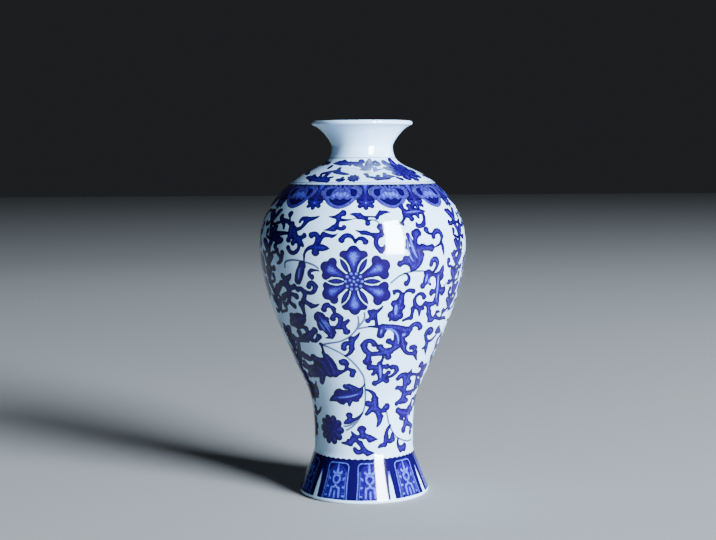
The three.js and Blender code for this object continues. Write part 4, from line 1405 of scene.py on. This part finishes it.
# Map of the piece on a square sheet: the outside in even bands, the inside squeezed beside it
def lay_out_sheet(mesh, whole_run, outside):
    vertices = read_values(mesh.loops, "vertex_index", np.int32)
    places = read_values(mesh.vertices, "co", np.float32, 3)
    runs = read_values(mesh.attributes["run"].data, "value", np.float32)
    starts = read_values(mesh.polygons, "loop_start", np.int32)
    corners = read_values(mesh.polygons, "loop_total", np.int32)
    faces = np.repeat(np.arange(len(mesh.polygons)), corners)
    turn = np.arctan2(places[vertices, 0], -places[vertices, 1]) / (2.0 * math.pi)
    anchor = turn[starts][faces]
    turn = anchor + (turn - anchor) - np.round(turn - anchor)
    run = runs[vertices].astype(float)
    highest = np.maximum.reduceat(run, starts)[faces]
    run = np.where(highest - run > whole_run / 2.0, run + whole_run, run)
    squeezed = np.where(run < outside, run, outside + SHEET_SQUEEZE * (run - outside))
    total = outside + SHEET_SQUEEZE * (whole_run - outside)
    widest = float(np.hypot(places[:, 0], places[:, 1]).max()) * 2.0 * math.pi
    bands = max(1, int(round(math.sqrt(widest / total))))
    middle = np.add.reduceat(turn, starts) / corners
    band = np.floor(middle * bands + NUDGE)[faces]
    across = turn * bands - band
    room = 1.0 - 2.0 * SHEET_MARGIN
    u = SHEET_MARGIN + room * across
    v = (np.mod(band, bands) + SHEET_MARGIN + room * squeezed / total) / bands
    sheet = mesh.uv_layers.new(name="OFBake")
    sheet.data.foreach_set("uv", np.stack((u, v), axis=1).astype(np.float32).ravel())


# Paints the outer wall of a piece and keeps the layers on its points
def paint_piece(mesh, line):
    places = read_values(mesh.vertices, "co", np.float32, 3).astype(float) / MM
    radii = np.hypot(places[:, 0], places[:, 1])
    outside = radii > np.interp(places[:, 2], line["height"], line["radius"]) - SKIN
    wall = Wall(line, np.arctan2(places[outside, 0], -places[outside, 1]), places[outside, 2])
    paint(wall)
    for name in LAYERS:
        values = np.full(len(places), FAR)
        values[outside] = np.clip(wall.layers[name], -FAR, FAR)
        write_values(mesh, name, values)


# Makes the piece that stands for a CAD node: thrown, mapped, painted and put in its slot
def make_round(node, section, outside, columns, slot, line=None):
    piece, whole_run = throw("dressed_" + node, section, columns, material_of(slot))
    lay_out_sheet(piece.data, whole_run, outside * MM)
    if line is not None:
        paint_piece(piece.data, line)
    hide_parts(node)
    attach(piece, "root")


# Makes a section of the wall between two seams
def make_section(node):
    low_name, high_name, share = SECTIONS[node]
    drawing = Drawing()
    low = drawing.seams[low_name]
    high = drawing.seams[high_name]
    outside = run_between(drawing.outer, low["height"], high["height"], drawing.sizes["grain"])
    inside = run_between(drawing.inner, low["high"], high["low"], INNER_SPACING)[::-1]
    section = [*outside, (high["back"], high["height"]), (high["back"], high["low"]), *inside,
               (low["back"], low["high"]), (low["back"], low["height"])]
    columns = int(drawing.sizes["columns"] * share / COLUMN_GROUP) * COLUMN_GROUP
    make_round(node, section, way_along(outside)[-1], columns, "glaze", drawing.line)


class VASE_OT_mouth_and_neck(bpy.types.Operator):
    """Throws the trumpet mouth and the neck, with the rounded lip"""
    bl_idname = "vase.mouth_and_neck"
    bl_label = "Mouth and neck"

    def execute(self, context):
        drawing = Drawing()
        s = drawing.sizes
        seam = drawing.seams["neck"]
        tilt = math.atan(s["mouth_slope"])
        lip = s["lip"] / 2.0
        centre = (s["mouth_radius"] - lip, drawing.top - lip)
        outside = run_between(drawing.outer, seam["height"], drawing.outer[-1, 1], s["grain"])
        edge = arc_points(centre, lip, -tilt, math.pi - tilt, LIP_STEPS)[1:]
        inside = run_between(drawing.inner, seam["high"], drawing.inner[-1, 1], MOUTH_SPACING)[::-1][1:]
        section = [*outside, *edge, *inside, (seam["back"], seam["high"]), (seam["back"], seam["height"])]
        make_round("mouth_and_neck", section, way_along(outside)[-1], MOUTH_COLUMNS, "glaze", drawing.line)
        return {"FINISHED"}


class VASE_OT_shoulder(bpy.types.Operator):
    """Throws the shoulder and paints its sprays"""
    bl_idname = "vase.shoulder"
    bl_label = "Shoulder"

    def execute(self, context):
        make_section("shoulder")
        return {"FINISHED"}


class VASE_OT_belly(bpy.types.Operator):
    """Throws the two belly sections and paints the ruyi band and the lotus scroll"""
    bl_idname = "vase.belly"
    bl_label = "Belly"

    def execute(self, context):
        make_section("upper_belly")
        make_section("lower_belly")
        return {"FINISHED"}


class VASE_OT_waist(bpy.types.Operator):
    """Throws the waist and paints the lower scroll"""
    bl_idname = "vase.waist"
    bl_label = "Waist"

    def execute(self, context):
        make_section("waist")
        return {"FINISHED"}


class VASE_OT_foot(bpy.types.Operator):
    """Throws the splayed foot with its trimmed ring, and paints the lappets"""
    bl_idname = "vase.foot"
    bl_label = "Splayed foot"

    def execute(self, context):
        drawing = Drawing()
        s = drawing.sizes
        seam = drawing.seams["foot"]
        ring_outer = s["foot_radius"] - s["foot_edge"]
        ring_inner = ring_outer - s["ring"]
        tilt = math.atan(s["foot_slope"])
        edge = arc_points((ring_outer, s["foot_edge"]), s["foot_edge"], -math.pi / 2.0, -tilt, EDGE_STEPS)
        outside = run_between(drawing.outer, drawing.outer[0, 1], seam["height"], s["grain"])[1:]
        inside = run_between(drawing.inner, drawing.floor_top, seam["low"], FOOT_SPACING)[::-1]
        splay = np.array(((ring_inner - s["ring_chamfer"], s["ring_chamfer"]), (drawing.seat, s["recess"])))
        recess = run_between(splay, s["ring_chamfer"], s["recess"], RECESS_SPACING)[::-1]
        section = [*edge, *outside, (seam["back"], seam["height"]), (seam["back"], seam["low"]), *inside,
                   (drawing.seat, drawing.floor_top), *recess, (ring_inner, 0.0)]
        painted = way_along(np.concatenate((edge, outside)))[-1]
        make_round("splayed_foot", section, painted, FOOT_COLUMNS, "foot", drawing.line)
        return {"FINISHED"}


class VASE_OT_floor(bpy.types.Operator):
    """Makes the floor in the foot and the fillet of slip under its edge"""
    bl_idname = "vase.floor"
    bl_label = "Floor"

    def execute(self, context):
        drawing = Drawing()
        s = drawing.sizes
        ring_inner = s["foot_radius"] - s["foot_edge"] - s["ring"] - s["ring_chamfer"]
        radius = drawing.seat - s["slack"]
        across = np.linspace(0.0, radius, FLOOR_POINTS)
        lift = FLOOR_HOLLOW * (1.0 - (across / radius) ** 2)
        section = [*zip(across, s["recess"] + lift), *[(reach, drawing.floor_top) for reach in across[::-1]]]
        make_round("floor_disc", section, radius, FLOOR_COLUMNS, "foot", drawing.line)
        splay = (ring_inner - drawing.seat) / (s["recess"] - s["ring_chamfer"])
        low = s["recess"] - s["fillet"]
        hollow = arc_points((radius - s["fillet"], low), s["fillet"] * FILLET_HOLLOW, math.pi / 2.0, 0.0,
                            FILLET_STEPS)
        section = [(radius + splay * s["fillet"], low), (radius, s["recess"]), *hollow[:-1]]
        make_round("floor_slip_fillet", section, SLIP_OUTSIDE, FLOOR_COLUMNS, "slip")
        return {"FINISHED"}


class VASE_OT_slip_seams(bpy.types.Operator):
    """Makes the beads of slip inside the joints"""
    bl_idname = "vase.slip_seams"
    bl_label = "Slip seams"

    def execute(self, context):
        drawing = Drawing()
        s = drawing.sizes
        for name, seam in drawing.seams.items():
            across = complex(seam["high_radius"] - seam["low_radius"], s["bead"])
            out = across / abs(across) * 1j
            bead = []
            for share in np.linspace(0.0, 1.0, BEAD_POINTS):
                bulge = s["bead_bulge"] * math.sin(math.pi * share)
                point = complex(seam["high_radius"], seam["high"]) - across * share + out * bulge
                bead.append((point.real, point.imag))
            back = seam["back"] - s["slack"]
            section = [(back, seam["low"]), (back, seam["high"]), *bead]
            make_round(name + "_slip_seam", section, SLIP_OUTSIDE, SLIP_COLUMNS, "slip")
        return {"FINISHED"}


# Inputs of the painting: which colour of the vase each holds, and which layer of distances
COBALTS = {"Dark cobalt": "ink_dark", "Cobalt": "ink", "Bright cobalt": "bright", "Pale cobalt": "pale",
           "Wash": "wash", "Stem blue": "stem"}
FIELDS = {"Ink": "ink", "Pale": "pale", "Glow": "glow", "Washed": "wash", "Stem": "stem"}

# How softly the edge of each layer ends, in millimetres
SOFTNESS = {"Ink": 0.34, "Washed": 0.36, "Stem": 0.32, "Pale": 0.40}

# Where masks begin and end: body and glow in millimetres, grain and specks in values of the noise
# and the bare ring in metres, the last two with the values they put out
BODY_RAMP = (-1.5, -0.45)
BRIGHT_RAMP = (-2.2, 0.2)
HEART_RAMP = (-4.8, -0.9)
GRAIN_RAMP = (0.36, 0.58)
SPECK_RAMP = (0.02, 0.07, 0.5, 0.0)
BARE_RAMP = (0.0003, 0.0005, 1.0, 0.0, "LINEAR")

# Sizes of the grain, as cells in a metre
TREMOR_SCALE = 320.0
STIPPLE_SCALE = 900.0
FLOW_SCALE = 90.0
POOL_SCALE = 26.0
SPECK_SCALE = 160.0
WOBBLE_SCALE = 120.0
GRIT_SCALE = 1400.0

# Skins: shares of the glaze's colour, white and thick, then roughness, bump strength and distance
PORCELAIN_SKIN = ((1.0, 1.0, 1.0), (0.93, 0.97, 1.0), 0.06, 0.25, 0.0006)
SLIP_SKIN = ((0.94, 0.94, 0.94), (0.80, 0.80, 0.80), 0.30, 0.4, 0.0005)
GLAZE_SHINE = 0.3

# Names of the materials by slot
MATERIALS = {"glaze": "Painted porcelain", "foot": "Painted porcelain foot", "slip": "Fired slip"}

# Darker grains of the bare clay
CLAY_SHADE = (0.72, 0.72, 0.72)


# Group that mixes the painted layers into one colour under the glaze
def cobalt_group(name):
    group = new_group(name, "ShaderNodeTree",
                      [*[(label, "Color") for label in ("Ground", *COBALTS)],
                       *[(label, "Float", FAR) for label in FIELDS],
                       ("Stipple size", "Float", STIPPLE_SCALE), ("Place", "Vector")], [("Colour", "Color")])
    nodes = Nodes(group)
    entry = nodes.add("NodeGroupInput").outputs
    tremor = nodes.scaled(nodes.noise(entry["Place"], TREMOR_SCALE), 0.3, -0.15)
    stipple = nodes.noise(entry["Place"], entry["Stipple size"], 3.0)
    flow = nodes.noise(entry["Place"], FLOW_SCALE, 3.0)
    covers = {name: nodes.under(nodes.maths("ADD", entry[name], tremor), -soft, soft)
              for name, soft in SOFTNESS.items()}
    depth = nodes.maths("ADD", entry["Ink"], nodes.scaled(flow, 0.9, -0.45))
    body = nodes.maths("MULTIPLY", nodes.under(depth, *BODY_RAMP), nodes.scaled(stipple, 0.6, 0.55))
    body = nodes.maths("MULTIPLY", body, nodes.scaled(covers["Washed"], -0.55, 1.0))
    grain = nodes.ramp(stipple, *GRAIN_RAMP)
    glow = nodes.maths("ADD", entry["Glow"], nodes.scaled(stipple, 5.0, -2.5))
    bright = nodes.under(glow, *BRIGHT_RAMP)
    heart = nodes.under(glow, *HEART_RAMP)
    pale = nodes.maths("MULTIPLY", covers["Pale"], nodes.scaled(grain, 0.5, 0.5))
    pale = nodes.maths("MAXIMUM", pale, nodes.maths("MULTIPLY", heart, 0.8))
    ink = nodes.mix(body, entry["Dark cobalt"], entry["Cobalt"])
    ink = nodes.mix(nodes.maths("MULTIPLY", bright, 0.8), ink, entry["Bright cobalt"])
    ink = nodes.mix(pale, ink, entry["Pale cobalt"])
    wash = nodes.mix(bright, entry["Wash"], entry["Bright cobalt"])
    share = nodes.maths("MAXIMUM", nodes.maths("MULTIPLY", heart, 0.6),
                        nodes.maths("MULTIPLY", covers["Pale"], 0.75))
    wash = nodes.mix(share, wash, entry["Pale cobalt"])
    tone = nodes.maths("MULTIPLY", covers["Washed"], nodes.scaled(grain, 0.05, 0.95))
    painted = nodes.mix(tone, entry["Ground"], wash)
    painted = nodes.mix(nodes.maths("MULTIPLY", covers["Stem"], 0.9), painted, entry["Stem blue"])
    painted = nodes.mix(covers["Ink"], painted, ink)
    nodes.add("NodeGroupOutput", {"Colour": painted})
    return group


# Group for the glaze itself: a faint change of colour and the softly uneven surface
def glaze_group(name):
    group = new_group(name, "ShaderNodeTree",
                      (("White", "Color"), ("Thick white", "Color"), ("Place", "Vector"),
                       ("Base roughness", "Float", 0.15)),
                      (("Colour", "Color"), ("Roughness", "Float"), ("Height", "Float")))
    nodes = Nodes(group)
    entry = nodes.add("NodeGroupInput").outputs
    pool = nodes.noise(entry["Place"], POOL_SCALE, 4.0)
    pins = nodes.add("ShaderNodeTexVoronoi", {"Scale": SPECK_SCALE, "Vector": entry["Place"]})
    specks = nodes.ramp(pins.outputs["Distance"], *SPECK_RAMP)
    tint = nodes.mix(nodes.maths("ADD", pool, specks), entry["White"], entry["Thick white"])
    rough = nodes.scaled(pool, 0.03, entry["Base roughness"])
    nodes.add("NodeGroupOutput", {"Colour": tint, "Roughness": rough, "Height": pool})
    return group


# A colour with each channel made darker
def darker(tint, factors):
    return [channel * factor for channel, factor in zip(tint, factors)] + [1.0]


# Fired material under a glaze skin: the material, its nodes, their place and the skin
def fired(name, white, thick_white, roughness, bump_strength, bump_distance):
    glaze = bpy.context.scene.vase_colours.glaze
    material = bpy.data.materials.new(name)
    material.use_nodes = True
    nodes = Nodes(material.node_tree)
    place = nodes.add("ShaderNodeTexCoord").outputs["Object"]
    skin = nodes.add("ShaderNodeGroup", node_tree=shared_group("Glaze skin", glaze_group))
    nodes.feed(skin, {"White": darker(glaze, white), "Thick white": darker(glaze, thick_white),
                      "Place": place, "Base roughness": roughness})
    bump = nodes.add("ShaderNodeBump", {"Strength": bump_strength, "Distance": bump_distance,
                                        "Height": skin.outputs["Height"]})
    shader = material.node_tree.nodes["Principled BSDF"]
    nodes.feed(shader, {"Base Color": skin.outputs["Colour"], "Roughness": skin.outputs["Roughness"],
                        "Normal": bump.outputs["Normal"]})
    return material, nodes, place, skin


# Glazed and painted porcelain, where the foot's ring is left as bare clay
def porcelain(name, bare_ring):
    colours = bpy.context.scene.vase_colours
    material, nodes, place, skin = fired(name, *PORCELAIN_SKIN)
    cobalt = nodes.add("ShaderNodeGroup", node_tree=shared_group("Cobalt painting", cobalt_group))
    nodes.feed(cobalt, {"Place": place, "Ground": skin.outputs["Colour"]})
    nodes.feed(cobalt, {socket: getattr(colours, name) for socket, name in COBALTS.items()})
    for socket, layer in FIELDS.items():
        painted = nodes.add("ShaderNodeAttribute", attribute_name=layer)
        nodes.feed(cobalt, {socket: painted.outputs["Fac"]})
    base = cobalt.outputs["Colour"]
    rough = skin.outputs["Roughness"]
    if bare_ring:
        height = nodes.add("ShaderNodeSeparateXYZ", {0: place}).outputs["Z"]
        edge = nodes.scaled(nodes.noise(place, WOBBLE_SCALE), -0.0008, height)
        bare = nodes.ramp(edge, *BARE_RAMP)
        shaded = darker(colours.clay, CLAY_SHADE)
        clay = nodes.mix(nodes.noise(place, GRIT_SCALE), colours.clay, shaded)
        base = nodes.mix(bare, base, clay)
        rough = nodes.scaled(bare, 0.6, rough)
    shader = material.node_tree.nodes["Principled BSDF"]
    nodes.feed(shader, {"Base Color": base, "Roughness": rough, "Specular IOR Level": GLAZE_SHINE})
    return material


# Material of a slot, made when a piece first needs it. Fired slip is clay under a thin uneven glaze
def material_of(slot):
    name = MATERIALS[slot]
    made = bpy.data.materials.get(name)
    if made:
        return made
    return fired(name, *SLIP_SKIN)[0] if slot == "slip" else porcelain(name, slot == "foot")


class VaseStage(bpy.types.PropertyGroup):
    """Camera, lamps and floor of the stage."""
    camera_place: FloatVectorProperty(name="Camera place", description="Where the camera stands",
                                      subtype="TRANSLATION", default=(-0.0039, -1.118, 0.2705))
    camera_pitch: FloatProperty(name="Camera pitch", description="How far the camera looks down",
                                subtype="ANGLE", default=math.radians(4.62))
    camera_roll: FloatProperty(name="Camera roll", description="Tilt of the frame", subtype="ANGLE",
                               default=math.radians(-0.35))
    lens: FloatProperty(name="Lens", description="Focal length in millimetres", default=69.7)
    key_power: FloatProperty(name="Key lamp", description="Power of the lamp at the right",
                             default=1450.0)
    strip_power: FloatProperty(name="Strip lamp", default=680.0,
                               description="Power of the tall softbox that the glaze mirrors")
    back_power: FloatProperty(name="Back lamp", description="Power of the lamp behind the vase",
                              default=3.0)
    room: FloatProperty(name="Room light", description="Strength of the room's light", default=0.02)
    floor_colour: colour("Floor", "Colour of the floor", (0.32, 0.325, 0.33, 1.0))


# Softboxes: name, place, height they look at, width, height, and what they don't show to
SOFTBOXES = (
    ("key", (3.15, -2.95, 1.25), 0.16, 1.8, 2.2, "visible_glossy"),
    ("strip", (0.80, -1.16, 0.66), 0.66, 0.5, 1.24, "visible_diffuse"),
    ("back", (-0.4, 1.9, 1.3), 0.16, 1.2, 1.2, "visible_glossy"),
)
LAMP_COLOUR = (0.80, 0.91, 1.0)
ROOM_COLOUR = (0.86, 0.90, 1.0, 1.0)
FLOOR_HALF = 9.0
FLOOR_ROUGHNESS = 0.9
SENSOR_WIDTH = 36.0


# Soft lamp that looks at a point on the vase's axis
def add_softbox(name, place, aim, width, height, power):
    lamp = bpy.data.lights.new(name, "AREA")
    lamp.shape = "RECTANGLE"
    lamp.size = width
    lamp.size_y = height
    lamp.energy = power
    lamp.color = LAMP_COLOUR
    softbox = bpy.data.objects.new(name, lamp)
    softbox.location = place
    way = Vector((0.0, 0.0, aim)) - Vector(place)
    softbox.rotation_euler = way.to_track_quat("-Z", "Y").to_euler()
    bpy.context.collection.objects.link(softbox)
    return softbox


class VASE_OT_stage(bpy.types.Operator):
    """Sets the pale floor, the soft lamps, the room's light and the camera"""
    bl_idname = "vase.stage"
    bl_label = "Stage"

    def execute(self, context):
        stage = context.scene.vase_stage
        mesh = bpy.data.meshes.new("pale_floor")
        corners = [(x * FLOOR_HALF, y * FLOOR_HALF, 0.0) for x, y in ((-1, -1), (1, -1), (1, 1), (-1, 1))]
        mesh.from_pydata(corners, [], [(0, 1, 2, 3)])
        floor = bpy.data.objects.new("pale_floor", mesh)
        context.collection.objects.link(floor)
        material = bpy.data.materials.new("Pale floor")
        material.use_nodes = True
        shader = material.node_tree.nodes["Principled BSDF"]
        shader.inputs["Base Color"].default_value = stage.floor_colour
        shader.inputs["Roughness"].default_value = FLOOR_ROUGHNESS
        shader.inputs["Specular IOR Level"].default_value = 0.0
        mesh.materials.append(material)
        for name, place, aim, width, height, unseen in SOFTBOXES:
            power = getattr(stage, name + "_power")
            softbox = add_softbox(name + "_softbox", place, aim, width, height, power)
            setattr(softbox, unseen, False)
        world = bpy.data.worlds.new("Room")
        world.use_nodes = True
        ground = world.node_tree.nodes["Background"]
        ground.inputs["Color"].default_value = ROOM_COLOUR
        ground.inputs["Strength"].default_value = stage.room
        context.scene.world = world
        lens = bpy.data.cameras.new("camera")
        lens.lens = stage.lens
        lens.sensor_width = SENSOR_WIDTH
        camera = bpy.data.objects.new("camera", lens)
        turn = Matrix.Rotation(math.pi / 2.0 - stage.camera_pitch, 4, "X")
        camera.matrix_world = (Matrix.Translation(Vector(stage.camera_place)) @ turn
                               @ Matrix.Rotation(stage.camera_roll, 4, "Z"))
        context.collection.objects.link(camera)
        context.scene.camera = camera
        return {"FINISHED"}


STEPS = (VASE_OT_mouth_and_neck, VASE_OT_shoulder, VASE_OT_belly, VASE_OT_waist, VASE_OT_foot,
         VASE_OT_floor, VASE_OT_slip_seams, VASE_OT_stage)


class VASE_PT_panel(bpy.types.Panel):
    """Sizes, colours and the steps of making the vase"""
    bl_idname = "VASE_PT_panel"
    bl_label = "Chinese vase"
    bl_space_type = "VIEW_3D"
    bl_region_type = "UI"
    bl_category = "Vase"

    def draw(self, context):
        column = self.layout.column()
        for operator in STEPS:
            column.operator(operator.bl_idname)
        for group in (context.scene.vase_sizes, context.scene.vase_colours, context.scene.vase_stage):
            for name in group.__class__.__annotations__:
                column.prop(group, name)


CLASSES = (VaseSizes, VaseColours, VaseStage, *STEPS, VASE_PT_panel)


def register():
    for cls in CLASSES:
        bpy.utils.register_class(cls)
    bpy.types.Scene.vase_sizes = PointerProperty(type=VaseSizes)
    bpy.types.Scene.vase_colours = PointerProperty(type=VaseColours)
    bpy.types.Scene.vase_stage = PointerProperty(type=VaseStage)


def unregister():
    del bpy.types.Scene.vase_stage
    del bpy.types.Scene.vase_colours
    del bpy.types.Scene.vase_sizes
    for cls in reversed(CLASSES):
        bpy.utils.unregister_class(cls)


def main():
    register()
    for operator in STEPS:
        group, step = operator.bl_idname.split(".")
        getattr(getattr(bpy.ops, group), step)()


if __name__ == "__main__":
    main()
